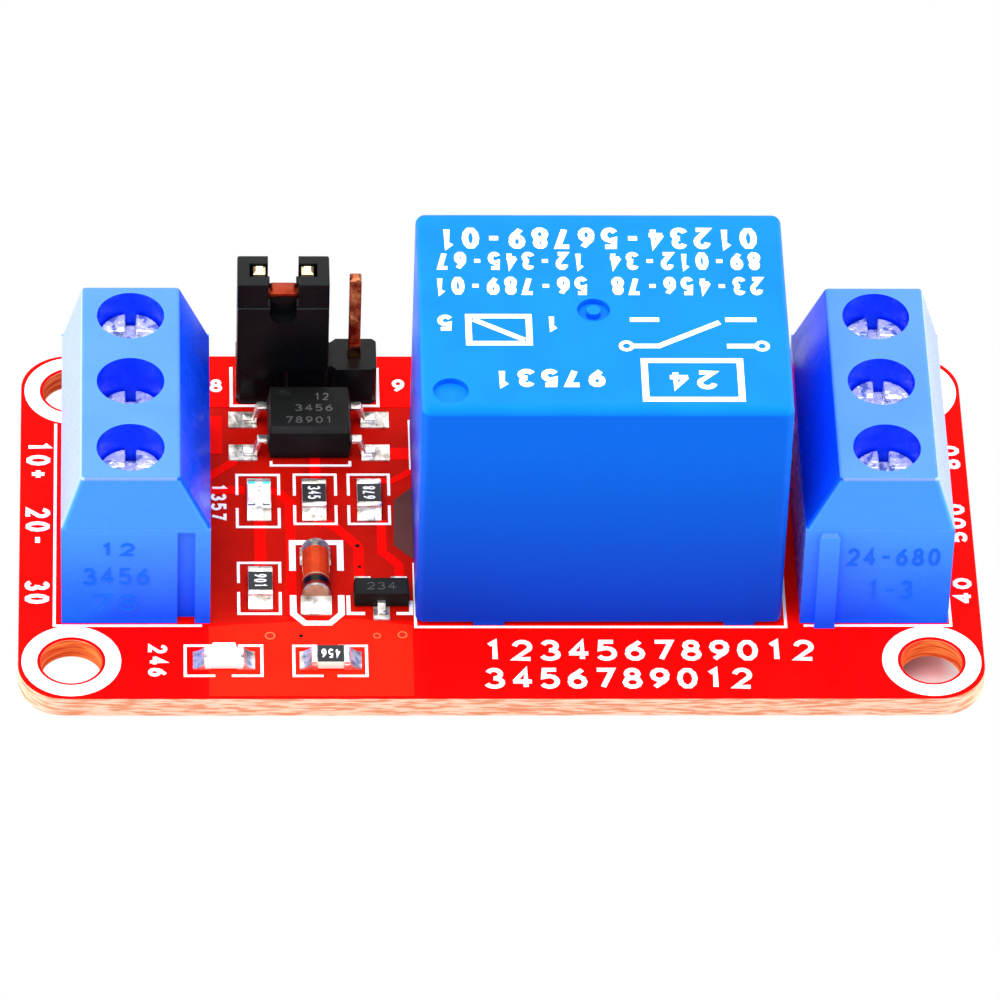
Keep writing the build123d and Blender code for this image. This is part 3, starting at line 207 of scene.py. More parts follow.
def housing_material():
    """Satin blue nylon, with painted shade in the screw wells, on the slopes that face the relay and towards
    the bottom of the walls, and a painted reflection on the outer slopes.
    """
    top, cloud = (0.080, 0.225, 0.98), (0.065, 0.205, 0.95)
    # Painted light: the slopes that face the relay get painted shade and the outer slopes a pale painted
    # reflection; the walls get painted shade, darker towards the bottom and darkest in the screw wells.
    inner_slope_painted_shade, outer_slope_painted_reflection = (0.002, 0.075, 0.92), (0.33, 0.43, 1.0)
    wall_foot_shade, wall_top_light, well_shade_colour = (0.002, 0.085, 0.98), (0.055, 0.27, 1.0), (0.001, 0.030, 0.84)
    # where one painted shade fades into the next: up the walls, at the bottom of the wells, and between wells
    # and end walls
    wall_shade_fade = (1.5 * MM, 7.8 * MM)
    well_shade_fade = (7.9 * MM, 8.2 * MM)
    end_fade = (6.85 * MM, 7.0 * MM)
    material, tree, shader = tree_of("terminal_blue", top, 0.25, Specular_IOR_Level=0.2,
                                     Specular_Tint=(0.08, 0.5, 1.0))
    clouds = ranged(tree, noise_at(tree, 3.5), 0.35, 0.7)
    level = blend_of(tree, clouds, top, cloud)
    at = place_split(tree)
    outward = combined(tree, "MULTIPLY", normal_split(tree)["X"], at["X"])
    # painted shade on the slopes that face the relay, painted reflection on the slopes that face outward
    slope = blend_of(tree, ranged(tree, outward, -MM, MM), inner_slope_painted_shade, outer_slope_painted_reflection)
    # painted shade up the walls, darker towards the bottom and deeper in the screw wells
    wall = blend_of(tree, ranged(tree, at["Z"], *wall_shade_fade), wall_foot_shade, wall_top_light)
    well_shade = combined(tree, "MULTIPLY", ranged(tree, at["Z"], *well_shade_fade),
                       ranged(tree, combined(tree, "ABSOLUTE", at["Y"]), *end_fade, 1, 0))
    wall = blend_of(tree, well_shade, wall, well_shade_colour)
    colour = blend_of(tree, side_factor(tree, 0.74, 0.8), level, slope)
    colour = blend_of(tree, side_factor(tree, 0.2, 0.3), colour, wall)
    tree.links.new(colour, shader.inputs["Base Color"])
    roughen(tree, shader, 1.1, 0.2, 0.3)
    emboss(tree, shader, noise_at(tree, 0.3, 2), 0.0005)
    return material


def metal(name, colour, tint, roughness, grain=0.3, depth=0.004, stretch=(1, 1, 1), body=1.0,
          edge=(0.4, 0.7)):
    """Metal with patches of a second colour and fine tool or flow marks: tarnish on most metals, a painted
    reflection on the screws and painted glints on the dark gold post.

    body is below 1 where an oxide skin dulls it, and edge is the stretch of noise over which a patch begins.
    """
    material, tree, shader = tree_of(name, colour, roughness[0], body)
    patches = ranged(tree, noise_at(tree, 0.6), *edge)
    tree.links.new(blend_of(tree, patches, colour, tint), shader.inputs["Base Color"])
    roughen(tree, shader, 0.35, *roughness)
    emboss(tree, shader, noise_at(tree, grain, 3, stretch), depth)
    return material


def board_material():
    """Red mask over dark laminate on the faces, and cut glass cloth on the edges and hole walls."""
    material, tree, shader = tree_of("red_mask_on_laminate", (0.52, 0.012, 0.005), 0.35,
                                     Specular_IOR_Level=0.03, Specular_Tint=(1.0, 0.2, 0.15))
    cloudy = ranged(tree, noise_at(tree, 2.2), 0.35, 0.65)
    mask = blend_of(tree, cloudy, (0.54, 0.006, 0.002), (0.44, 0.004, 0.0015))
    layers = ranged(tree, noise_at(tree, 0.4, 4, (0.3, 0.3, 3.4)), 0.45, 0.58)
    cloth = blend_of(tree, layers, (0.90, 0.57, 0.42), (0.72, 0.26, 0.14))
    wall = side_factor(tree)
    tree.links.new(blend_of(tree, wall, mask, cloth), shader.inputs["Base Color"])
    tree.links.new(ranged(tree, wall, 0, 1, 0.3, 0.8), shader.inputs["Roughness"])
    emboss(tree, shader, noise_at(tree, 0.25, 4, (0.5, 0.5, 3)), 0.004)
    return material


def cloth_material(name, pale, deep):
    """Cut glass cloth: thin layers that wander along the cut."""
    material, tree, shader = tree_of(name, pale, 0.8, Specular_IOR_Level=0.2)
    layers = ranged(tree, noise_at(tree, 0.55, 4, (0.25, 0.25, 4.2)), 0.42, 0.58)
    tree.links.new(blend_of(tree, layers, pale, deep), shader.inputs["Base Color"])
    emboss(tree, shader, noise_at(tree, 0.25, 4, (0.5, 0.5, 3)), 0.01)
    return material


def copper_material(name, colour, tint):
    """Mask over copper or plain laminate: smooth and a little uneven."""
    material, tree, shader = tree_of(name, colour, 0.3, Specular_IOR_Level=0.03,
                                     Specular_Tint=(1.0, 0.2, 0.15))
    cloudy = ranged(tree, noise_at(tree, 4.0), 0.35, 0.65)
    tree.links.new(blend_of(tree, cloudy, colour, tint), shader.inputs["Base Color"])
    roughen(tree, shader, 1.5, 0.25, 0.38)
    emboss(tree, shader, noise_at(tree, 0.6, 3), 0.002)
    return material


def chip_material(name, top, sides):
    """A printed film on a ceramic block: one colour on its top and another down its sides."""
    material, tree, shader = tree_of(name, top, 0.4, Specular_IOR_Level=0.3)
    worn = ranged(tree, noise_at(tree, 0.3), 0.35, 0.7)
    film = blend_of(tree, worn, top, tuple(channel * 1.6 for channel in top))
    tree.links.new(blend_of(tree, side_factor(tree), film, sides), shader.inputs["Base Color"])
    roughen(tree, shader, 0.3, 0.3, 0.45)
    emboss(tree, shader, noise_at(tree, 0.1, 2), 0.002)
    return material


def glass_material(name, colour):
    """Tinted glass that is nearly opaque, with deeper swirls."""
    material, tree, shader = tree_of(name, colour, 0.05, Transmission_Weight=0.15,
                                     Specular_IOR_Level=0.14, Specular_Tint=(1.0, 0.5, 0.25))
    swirls = ranged(tree, noise_at(tree, 0.5), 0.3, 0.7)
    deep = tuple(channel * 0.75 for channel in colour)
    tree.links.new(blend_of(tree, swirls, colour, deep), shader.inputs["Base Color"])
    roughen(tree, shader, 0.4, 0.03, 0.09)
    return material


TERMINAL_BLUE = housing_material()
# The relay's walls carry painted shade, darker towards the bottom.
RELAY_BLUE = moulded("relay_blue", (0.004, 0.175, 0.95), (0.003, 0.155, 0.91), (0.30, 0.42), 0.25, 0.0005,
                     ((0.001, 0.034, 0.50), (0.002, 0.120, 0.68)), (1.2, 14.0), Specular_IOR_Level=0.10,
                     Specular_Tint=(0.05, 0.5, 1.0))
BLACK_PLASTIC = moulded("black_plastic", (0.0022, 0.0026, 0.003), (0.004, 0.0045, 0.005), (0.24, 0.38),
                        Specular_IOR_Level=0.12)
CHIP_BLACK = moulded("package_black", (0.003, 0.0034, 0.003), (0.006, 0.0064, 0.006), (0.45, 0.58), 0.06,
                     0.003, Specular_IOR_Level=0.14)
WHITE_PLASTIC = moulded("white_plastic", (0.85, 0.85, 0.80), (0.75, 0.75, 0.70), (0.4, 0.5))
# The screws' dark blue patches are a painted reflection of the blue wells round them.
SCREW_STEEL = metal("bright_screw", (1.0, 1.0, 1.0), (0.22, 0.30, 0.52), (0.14, 0.34), 0.5, 0.12, body=0.6,
                    edge=(0.54, 0.60))
PLATED = metal("tinned_brass", (0.90, 0.88, 0.84), (0.52, 0.46, 0.38), (0.18, 0.36), 0.3, 0.01, body=0.9)
DULL_CAP = metal("dull_cap", (0.40, 0.36, 0.32), (0.10, 0.08, 0.07), (0.12, 0.28), 0.35, 0.02, (1, 0.3, 1),
                 body=0.4)
IRON = metal("iron", (0.52, 0.52, 0.53), (0.42, 0.41, 0.41), (0.3, 0.45))
SOLDER = metal("solder", (0.80, 0.78, 0.74), (0.24, 0.20, 0.16), (0.22, 0.45), 0.45, 0.06, body=0.8)
GOLD = metal("gold_flash", (1.0, 0.86, 0.58), (0.98, 0.72, 0.38), (0.14, 0.26), 0.2, 0.003, (1, 1, 0.2),
             body=0.85)
# The dark post is dark red-brown with painted golden glints in patches.
DARK_GOLD = metal("dark_gold_painted_glints", (0.24, 0.040, 0.020), (0.62, 0.26, 0.11), (0.10, 0.25), 0.5, 0.02, (1, 1, 0.3))
CLIP_COPPER = metal("clip_copper", (0.30, 0.04, 0.016), (0.19, 0.022, 0.010), (0.25, 0.4), 0.1, 0.003,
                    (0.1, 1, 1))
COPPER_WIRE = metal("enamelled_wire", (0.75, 0.27, 0.10), (0.6, 0.19, 0.07), (0.25, 0.4), 0.12, 0.02,
                    (0.1, 0.1, 6))
BOARD = board_material()
COPPER_MASK = copper_material("red_mask_on_copper", (0.98, 0.0015, 0.001), (0.94, 0.002, 0.001))
STRIP_MASK = copper_material("red_mask_on_strip", (0.98, 0.014, 0.004), (0.92, 0.011, 0.003))
RESISTOR_FILM = chip_material("resistor_film", (0.006, 0.006, 0.007), (0.92, 0.88, 0.78))
INK_WHITE = moulded("white_ink", (1.0, 1.0, 0.99), (0.97, 0.97, 0.96), (0.45, 0.6), 0.15, 0.001)
CERAMIC = moulded("chip_ceramic", (0.92, 0.90, 0.82), (0.85, 0.82, 0.73), (0.4, 0.55), 0.08, 0.003)
LED_WHITE = moulded("led_base_white", (1.0, 1.0, 0.98), (0.96, 0.98, 0.95), (0.3, 0.45), 0.08, 0.001)
CYAN_MARK = moulded("cyan_mark", (0.05, 0.75, 0.72), (0.04, 0.65, 0.62), (0.4, 0.5))
AMBER_GLASS = glass_material("amber_glass", (0.74, 0.050, 0.003))
DEEP_GLASS = glass_material("deep_glass", (0.24, 0.008, 0.002))
SILICON = metal("silicon", (0.35, 0.36, 0.40), (0.28, 0.29, 0.33), (0.2, 0.3))
FAINT_MARK = moulded("laser_mark", (0.075, 0.075, 0.065), (0.05, 0.05, 0.045), (0.6, 0.7))
LAMINATE = moulded("bare_laminate", (0.12, 0.035, 0.03), (0.08, 0.02, 0.018), (0.35, 0.5), 0.2, 0.002,
                   Specular_IOR_Level=0.1)
DARK_BAND = moulded("dark_band", (0.004, 0.003, 0.003), (0.008, 0.004, 0.004), (0.15, 0.25),
                    Specular_IOR_Level=0.15)
TAN_PLATING = metal("tan_plating", (0.42, 0.31, 0.20), (0.30, 0.20, 0.12), (0.3, 0.45), 0.3, 0.01, body=0.4)
VIA_RING = moulded("via_ring", (0.90, 0.16, 0.02), (0.80, 0.12, 0.015), (0.3, 0.4))
VIA_HOLE = moulded("via_hole", (0.012, 0.002, 0.002), (0.008, 0.002, 0.001), (0.4, 0.5),
                   Specular_IOR_Level=0.05)
VIA_PLUG = moulded("via_plug", (0.55, 0.012, 0.004), (0.40, 0.008, 0.003), (0.4, 0.5),
                   Specular_IOR_Level=0.1)
EMBOSSED = moulded("embossed_blue", (0.003, 0.13, 0.86), (0.003, 0.11, 0.82), (0.25, 0.35), 0.3, 0.0005,
                   Specular_IOR_Level=0.2, Specular_Tint=(0.25, 0.6, 1.0))
HOLE_CLOTH = cloth_material("hole_cloth", (0.94, 0.24, 0.05), (0.66, 0.055, 0.010))
# The LED lens has a faint painted glow that lifts its white.
LED_LENS = moulded("led_resin", (1.0, 1.0, 0.97), (0.95, 0.98, 0.95), (0.15, 0.25), 0.2, 0.0005,
                   Emission_Color=(1.0, 1.0, 0.96), Emission_Strength=0.28)

SLOT_LOOK = {
    "board_red": BOARD, "terminal_blue": TERMINAL_BLUE, "relay_blue": RELAY_BLUE,
    "black_plastic": BLACK_PLASTIC, "white_plastic": WHITE_PLASTIC, "steel": SCREW_STEEL, "iron": IRON,
    "tin": PLATED, "solder": SOLDER, "gold": GOLD, "copper": COPPER_WIRE, "chip_ceramic": CERAMIC,
    "led_lens": LED_LENS, "led_base": LED_WHITE, "diode_glass": AMBER_GLASS, "silicon": SILICON,
}
SLOT_OF = {part["node"]: part["material_slot"] for part in frame["record"]["subparts"]}
BODY_OF = {node: body for body, members in frame["record"]["behaviour"]["bodies"].items()
           for node in members}


def paint(piece, material):
    """Give a piece one material in place of what it has."""
    piece.data.materials.clear()
    piece.data.materials.append(material)


def place(mesh, name, body, material):
    """Link a finished mesh as a piece that rides on a body and has a finish."""
    piece = bpy.data.objects.new(name, mesh)
    bpy.context.scene.collection.objects.link(piece)
    paint(piece, material)
    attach(piece, body)
    return piece


for node, piece in nodes.items():
    paint(piece, SLOT_LOOK[SLOT_OF[node]])


# Refined copies of CAD nodes, with rounded edges. Lengths in millimetres, angles in degrees.
WELD = 0.0005
FLAT_ANGLE = 0.5
ROUNDED_ANGLE = 28
SHADED_ANGLE = 50


def refined(node, radius, material=None, segments=2, spared=None, clamped=True):
    """A copy of a CAD node with its edges rounded, standing for the node on the same body.

    spared tells of a point in millimetres whether the edge at it stays sharp. clamped keeps the rounding
    within half of any short edge beside it.
    """
    mesh = bmesh.new()
    mesh.from_mesh(nodes[node].data)
    bmesh.ops.remove_doubles(mesh, verts=mesh.verts, dist=WELD * MM)
    bmesh.ops.dissolve_limit(mesh, angle_limit=radians(FLAT_ANGLE), verts=mesh.verts, edges=mesh.edges)
    edges = [e for e in mesh.edges if e.is_manifold and e.calc_face_angle() > radians(ROUNDED_ANGLE)
             and not (spared and spared((e.verts[0].co + e.verts[1].co) / 2 / MM))]
    bmesh.ops.bevel(mesh, geom=edges, offset=radius * MM, offset_type="OFFSET", segments=segments,
                    profile=0.5, affect="EDGES", clamp_overlap=clamped)
    for face in mesh.faces:
        face.smooth = True
    for edge in mesh.edges:
        edge.smooth = edge.is_manifold and edge.calc_face_angle() < radians(SHADED_ANGLE)
    data = bpy.data.meshes.new(node + "_rounded")
    mesh.to_mesh(data)
    mesh.free()
    slot = SLOT_OF[node]
    piece = place(data, node + "_rounded", BODY_OF[node], material or SLOT_LOOK[slot])
    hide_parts(node)
    normals = piece.modifiers.new("even_normals", "WEIGHTED_NORMAL")
    normals.keep_sharp = True
    return piece


for block in ("input", "output"):
    refined(f"{block}_terminal_housing", 0.1)
    for number in (1, 2, 3):
        refined(f"{block}_screw_{number}", 0.09)
        refined(f"{block}_clamp_frame_{number}", 0.06)

# The jumper cap: the height of its ledges, and how near an edge lies that belongs to a ledge, rim or face
CAP_LEDGE = 8.24
LEDGE_REACH = 0.05
RIM_REACH = 0.2
AT_FACE = 0.02


def inside_cap(point):
    """True for every edge of the jumper cap except its corners, its ledges and the outline of its top."""
    low, high = (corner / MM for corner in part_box("jumper_cap"))
    from_side = min(point.x - low.x, high.x - point.x)
    from_face = min(point.y - low.y, high.y - point.y)
    if abs(point.z - CAP_LEDGE) < LEDGE_REACH:
        return from_face > AT_FACE
    on_rim = high.z - point.z < AT_FACE and from_face < RIM_REACH
    return not (from_side < AT_FACE or on_rim)


refined("jumper_cap", 0.118, segments=3, spared=inside_cap, clamped=False)
refined("jumper_clip", 0.02, CLIP_COPPER)
refined("header_housing", 0.06)
refined("header_post_3", 0.03, DARK_GOLD)
refined("optocoupler_body", 0.06, CHIP_BLACK)
refined("transistor_body", 0.05, CHIP_BLACK)
refined("optocoupler_leads", 0.03)
refined("transistor_leads", 0.02)
for number in (1, 2, 3, 4):
    refined(f"resistor_{number}", 0.02, RESISTOR_FILM)
refined("resistor_end_caps", 0.03)
refined("diode_end_caps", 0.05, DULL_CAP)
for name in ("status", "power"):
    refined(f"{name}_led_base", 0.02)
    refined(f"{name}_led_lens", 0.06)


# Print, copper and other thin layers, in millimetres throughout
MITRE_LIMIT = 0.5


def ribbon(mesh, points, width, low, high, closed=False, pose=Matrix.Identity(4)):
    """A flat band of even width along a path, between two heights, with its sharpest corners blunted."""
    path = [Vector(point) for point in points]
    count = len(path)
    rows = []
    for i, point in enumerate(path):
        before = path[i - 1] if closed or i > 0 else None
        after = path[(i + 1) % count] if closed or i < count - 1 else None
        into = (point - before).normalized() if before is not None else (after - point).normalized()
        away = (after - point).normalized() if after is not None else into
        along = (into + away).normalized()
        side = Vector((-along.y, along.x))
        reach = width / 2 / max(MITRE_LIMIT, side.dot(Vector((-into.y, into.x))))
        rows.append([mesh.verts.new(mm(*(pose @ Vector((*(point + sign * reach * side), z)))))
                     for sign, z in ((1, high), (-1, high), (-1, low), (1, low))])
    spans = count if closed else count - 1
    for i in range(spans):
        here, there = rows[i], rows[(i + 1) % count]
        for k in range(4):
            mesh.faces.new((here[k], here[(k + 1) % 4], there[(k + 1) % 4], there[k]))
    if not closed:
        mesh.faces.new(reversed(rows[0]))
        mesh.faces.new(rows[-1])


def arc(x, y, radius_x, radius_y, start, end, steps=10):
    """Points along an ellipse, from one angle in degrees to another."""
    return [(x + radius_x * cos(radians(start + (end - start) * i / steps)),
             y + radius_y * sin(radians(start + (end - start) * i / steps))) for i in range(steps + 1)]


# Strokes of the figures, in a box 1 wide and 1.6 high. The second item of a stroke tells if it is closed.
# Figures stand apart by a share of their pitch, and each stroke is a step higher than the one before.
BOX_HEIGHT = 1.6
FIGURE_GAP = 0.25
STROKE_STEP = 0.002
FIGURES = {
    "0": [(arc(0.5, 0.8, 0.5, 0.8, 0, 324, 9), True)],
    "1": [([(0.2, 1.3), (0.55, 1.6), (0.55, 0)], False)],
    "2": [(arc(0.5, 1.12, 0.48, 0.48, 170, -30) + [(0.02, 0), (1, 0)], False)],
    "3": [(arc(0.46, 1.2, 0.42, 0.4, 160, -90), False), (arc(0.46, 0.4, 0.52, 0.4, 95, -160), False)],
    "4": [([(0.72, 0), (0.72, 1.6), (0, 0.5)], False), ([(-0.1, 0.5), (1.1, 0.5)], False)],
    "5": [([(0.92, 1.6), (0.16, 1.6), (0.1, 0.92)] + arc(0.46, 0.5, 0.52, 0.5, 110, -150), False)],
    "6": [([(0.82, 1.6)] + arc(0.9, 0.55, 0.88, 0.8, 120, 180, 5)[:-1], False),
          (arc(0.5, 0.48, 0.47, 0.48, 0, 324, 9), True)],
    "7": [([(0, 1.6), (1, 1.6), (0.38, 0)], False)],
    "8": [(arc(0.5, 1.22, 0.38, 0.38, 0, 324, 9), True), (arc(0.5, 0.42, 0.48, 0.42, 0, 324, 9), True)],
    "9": [(arc(0.5, 1.12, 0.47, 0.48, 0, 324, 9), True),
          ([(0.18, 0)] + arc(0.1, 1.05, 0.88, 0.8, -60, 0, 5)[:-1], False)],
    "-": [([(0.1, 0.8), (0.9, 0.8)], False)],
    "+": [([(0, 0.8), (1, 0.8)], False), ([(0.5, 0.3), (0.5, 1.3)], False)],
}


def flat(x, y, turn=0):
    """The pose of print on a level face, turned by an angle in degrees from +X."""
    return Matrix.Translation((x, y, 0)) @ Matrix.Rotation(radians(turn), 4, "Z")


def upright(x, y, z):
    """The pose of print on a wall that faces -Y."""
    return Matrix.Translation((x, y, z)) @ Matrix.Rotation(radians(90), 4, "X")


def figures(mesh, text, pose, length, height, stroke, low, high):
    """A row of plain figures that fills a length and a height about the pose's origin."""
    pitch = length / (len(text) - FIGURE_GAP)
    width = (1 - FIGURE_GAP) * pitch - stroke
    for i, figure in enumerate(text):
        for number, (points, closed) in enumerate(FIGURES.get(figure, ())):
            placed = [(i * pitch + (stroke - length) / 2 + u * width,
                       (v / BOX_HEIGHT - 0.5) * (height - stroke)) for u, v in points]
            ribbon(mesh, placed, stroke, low, high + number * STROKE_STEP, closed, pose)


def finish_mesh(mesh, name, material):
    """Turn a mesh under work into a piece that is fixed to the board."""
    bmesh.ops.recalc_face_normals(mesh, faces=mesh.faces)
    data = bpy.data.meshes.new(name)
    mesh.to_mesh(data)
    mesh.free()
    return place(data, name, "root", material)


def plate(name, outlines, low, high, material, slot="board_red"):
    """A flat plate with holes: the first outline is its edge, and the others are cut out of it."""
    curve = bpy.data.curves.new(name, "CURVE")
    curve.dimensions = "2D"
    curve.fill_mode = "BOTH"
    curve.extrude = (high - low) / 2 * MM
    for points in outlines:
        spline = curve.splines.new("POLY")
        spline.points.add(len(points) - 1)
        for point, (x, y) in zip(spline.points, points):
            point.co = (x * MM, y * MM, 0, 1)
        spline.use_cyclic_u = True
    outline = bpy.data.objects.new(name, curve)
    data = bpy.data.meshes.new_from_object(outline)
    bpy.data.objects.remove(outline)
    data.transform(Matrix.Translation(mm(0, 0, (low + high) / 2)))
    data.name = name
    return place(data, name, "root", material)


def circle(x, y, radius, steps):
    """Points round a full circle."""
    return arc(x, y, radius, radius, 0, 360 * (steps - 1) / steps, steps - 1)


def ring(x, y, outer, inner, steps):
    """The two outlines of a flat ring."""
    return [circle(x, y, outer, steps), circle(x, y, inner, steps)]


def rounded_rectangle(x_span, y_span, radius):
    """Points round a rectangle with rounded corners."""
    left, right = x_span[0] + radius, x_span[1] - radius
    front, back = y_span[0] + radius, y_span[1] - radius
    points = []
    for x, y, start in ((right, back, 0), (left, back, 90), (left, front, 180), (right, front, 270)):
        points += arc(x, y, radius, radius, start, start + 90, 8)
    return points


# The mounting holes, the white ring round each from its bare rim outward, and the wall inside it
HOLE_X, HOLE_Y, HOLE_RADIUS = 22.25, 10.25, 1.6
BARE_RADIUS = 1.77
RING_RADIUS = 2.57
WALL_THICKNESS = 0.015
WALL_SPAN = (0.02, BOARD_TOP - 0.03)
HOLE_STEPS = 72
HOLES = [(x, y) for x in (-HOLE_X, HOLE_X) for y in (-HOLE_Y, HOLE_Y)]

# Copper under the mask: the pour with a window round the small parts, the strip in front of them, the bare
# patch by the relay, and the tracks
COPPER_TOP = BOARD_TOP + COPPER
INK_LOW = COPPER_TOP - SUNK
INK_TOP = COPPER_TOP + INK
MASK_INSET = 0.05
CORNER = 2.5
WINDOW = [(-15.6, -7.45), (-13.9, -7.45), (-7.4, -6.98), (-6.9, -7.3), (-3.9, -7.3), (-3.9, 9.0),
          (-15.6, 9.0)]
STRIP = [(-15.15, -12.8), (-4.6, -12.8), (-4.6, -7.6), (-7.4, -7.1), (-13.9, -7.55), (-15.15, -7.7)]
PATCH = [(-5.37, 1.82), (-5.44, -1.55), (-4.36, -2.71), (-3.95, -2.71), (-3.95, 2.86), (-4.4, 2.86)]
plate("copper_pour",
      [rounded_rectangle((BOARD_X[0] + MASK_INSET, BOARD_X[1] - MASK_INSET),
                         (BOARD_Y[0] + MASK_INSET, BOARD_Y[1] - MASK_INSET), CORNER), WINDOW]
      + [circle(x, y, HOLE_RADIUS + MASK_INSET, 48) for x, y in HOLES],
      BOARD_TOP - SUNK, COPPER_TOP, COPPER_MASK)
plate("front_strip", [STRIP], COPPER_TOP - SUNK, COPPER_TOP + 0.004, STRIP_MASK)
plate("bare_patch", [PATCH], BOARD_TOP - SUNK, BOARD_TOP + 0.008, LAMINATE)

# The path and the width of each track
TRACKS = [
    ([(-9.46, 5.4), (-9.46, 3.5)], 0.55),
    ([(-15.4, 3.3), (-13.7, 4.85)], 0.5),
    ([(-14.7, 8.3), (-14.7, 5.4)], 0.7),
    ([(-15.2, 2.6), (-13.2, 2.6)], 0.6),
    ([(-11.9, 2.6), (-11.3, 2.3), (-10.82, 1.55), (-10.82, -1.5), (-10.82, -7.2)], 0.5),
    ([(-9.5, 0.2), (-8.6, -0.04), (-7.36, -1.62), (-7.28, -1.9), (-7.28, -4.4)], 0.55),
    ([(-12.42, 0.2), (-12.42, -3.3)], 0.6),
    ([(-6.05, 0.3), (-6.05, -2.1), (-5.2, -3.1), (-5.15, -5.4)], 0.5),
    ([(-5.9, 5.4), (-4.1, 5.4)], 0.9),
    ([(-6.9, 3.3), (-5.4, 3.3), (-4.0, 4.4)], 0.4),
]
mesh = bmesh.new()
for i, (points, width) in enumerate(TRACKS):
    ribbon(mesh, points, width, BOARD_TOP - SUNK, COPPER_TOP - 0.006 + i * 0.0006)
finish_mesh(mesh, "tracks", COPPER_MASK)

# Vias: small dark holes, some with an orange ring. The bore is a share of the ring's radius.
VIA_BORE = 0.78
VIA_STEPS = 24
for number, (x, y, radius, ringed) in enumerate([
        (-11.98, -8.38, 0.27, True), (-10.37, -8.38, 0.15, False), (-6.44, -8.38, 0.2, True),
        (-5.12, -8.31, 0.25, True), (-7.34, -1.64, 0.16, False), (-7.26, -3.23, 0.13, False)], 1):
    rim, bore = ring(x, y, radius, radius * VIA_BORE, VIA_STEPS)
    if ringed:
        plate(f"via_ring_{number}", [rim, bore], COPPER_TOP - SUNK, COPPER_TOP + 0.014, VIA_RING, "copper")
    plate(f"via_hole_{number}", [bore], COPPER_TOP - SUNK, COPPER_TOP + 0.006,
          VIA_PLUG if ringed else VIA_HOLE)

# Orange cut cloth inside the mounting holes
for number, (x, y) in enumerate(HOLES, 1):
    plate(f"hole_wall_{number}", ring(x, y, HOLE_RADIUS, HOLE_RADIUS - WALL_THICKNESS, HOLE_STEPS),
          *WALL_SPAN, HOLE_CLOTH)

# White print on the board: rings round the holes, and outlines of the parts in a fine and a broad line
for number, (x, y) in enumerate(HOLES, 1):
    plate(f"hole_ring_{number}", ring(x, y, RING_RADIUS, BARE_RADIUS, HOLE_STEPS),
          INK_LOW, INK_TOP, INK_WHITE, "white_plastic")

FINE = 0.15
BROAD = 0.34


def split_box(x_span, y_span, gap):
    """The two halves of a box outline with a gap in each side."""
    (left, right), (front, back) = x_span, y_span
    return [[(left, gap[1]), (left, back), (right, back), (right, gap[1])],
            [(left, gap[0]), (left, front), (right, front), (right, gap[0])]]


def open_box(x_span, y_span, low_gap, high_gap):
    """The two halves of a box outline with a gap in its front and one in its back."""
    (left, right), (front, back) = x_span, y_span
    return [[(low_gap[0], front), (left, front), (left, back), (high_gap[0], back)],
            [(low_gap[1], front), (right, front), (right, back), (high_gap[1], back)]]


OUTLINES = [(points, FINE) for points in (
    split_box((-13.6, -11.4), (-0.24, 3.73), (1.2, 2.2))
    + split_box((-10.58, -8.41), (0.0, 3.76), (1.4, 2.16))
    + split_box((-7.74, -5.61), (0.0, 3.76), (1.4, 2.16))
    + split_box((-13.58, -11.42), (-6.75, -2.95), (-5.14, -4.45))
    + open_box((-10.77, -7.01), (-11.35, -9.14), (-9.26, -8.52), (-9.72, -8.48))
    + open_box((-16.38, -12.42), (-11.34, -9.12), (-14.84, -13.98), (-14.95, -13.65))
)]
OUTLINES += [
    ([(-10.75, -3.53), (-10.75, -1.42), (-8.25, -1.42), (-8.25, -3.53)], BROAD),
    ([(-10.75, -5.38), (-10.75, -6.75), (-10.15, -7.45), (-8.85, -7.45), (-8.25, -6.75), (-8.25, -5.38)],
     BROAD),
    ([(-7.88, -5.4), (-7.88, -6.73), (-7.03, -6.73)], 0.2),
    ([(-5.40, -6.73), (-4.63, -6.73), (-4.63, -5.8)], 0.2),
    ([(-11.78, 4.8), (-11.78, 4.46), (-7.62, 4.46), (-7.62, 4.8)], FINE),
    ([(-13.84, 12.1), (-13.84, 9.08), (-6.05, 9.08), (-6.05, 12.05)], 0.17),
    ([(-4.42, -2.95), (-4.42, -7.74), (14.81, -7.74), (14.81, 7.9), (-4.42, 7.9), (-4.42, 4.16)], FINE),
    ([(-15.5, -7.64), (-23.15, -7.64), (-23.15, 7.66)], FINE),
    ([(15.74, -7.64), (23.41, -7.64), (23.41, 7.66)], FINE),
]
mesh = bmesh.new()
for points, width in OUTLINES:
    ribbon(mesh, points, width, INK_LOW, INK_TOP)
finish_mesh(mesh, "board_outlines", INK_WHITE)

# Plain numbers where the board carries print: the text, its place and turn, its length, height and stroke
mesh = bmesh.new()
for text, x, y, turn, length, height, stroke in (
        ("10+", -24.05, 4.85, -90, 2.9, 1.3, 0.25), ("20-", -24.05, -0.2, -90, 2.8, 1.3, 0.25),
        ("30", -24.05, -5.15, -90, 1.7, 1.3, 0.25), ("40", 24.2, -5.05, 90, 1.9, 1.0, 0.22),
        ("500", 24.2, 0.05, 90, 2.9, 1.0, 0.22), ("60", 24.2, 5.1, 90, 1.8, 1.0, 0.22),
        ("246", -17.8, -10.22, -90, 2.35, 1.0, 0.2), ("1357", -14.57, 1.67, -90, 2.75, 0.82, 0.16),
        ("8", -14.65, 10.65, 0, 0.7, 1.0, 0.2), ("9", -4.95, 10.65, 0, 0.7, 1.0, 0.2),
        ("123456789012", 7.62, -9.47, 0, 17.15, 1.53, 0.27),
        ("3456789012", 5.97, -11.53, 0, 13.85, 1.52, 0.27)):
    figures(mesh, text, flat(x, y, turn), length, height, stroke, INK_LOW, INK_TOP)
finish_mesh(mesh, "board_numbers", INK_WHITE)

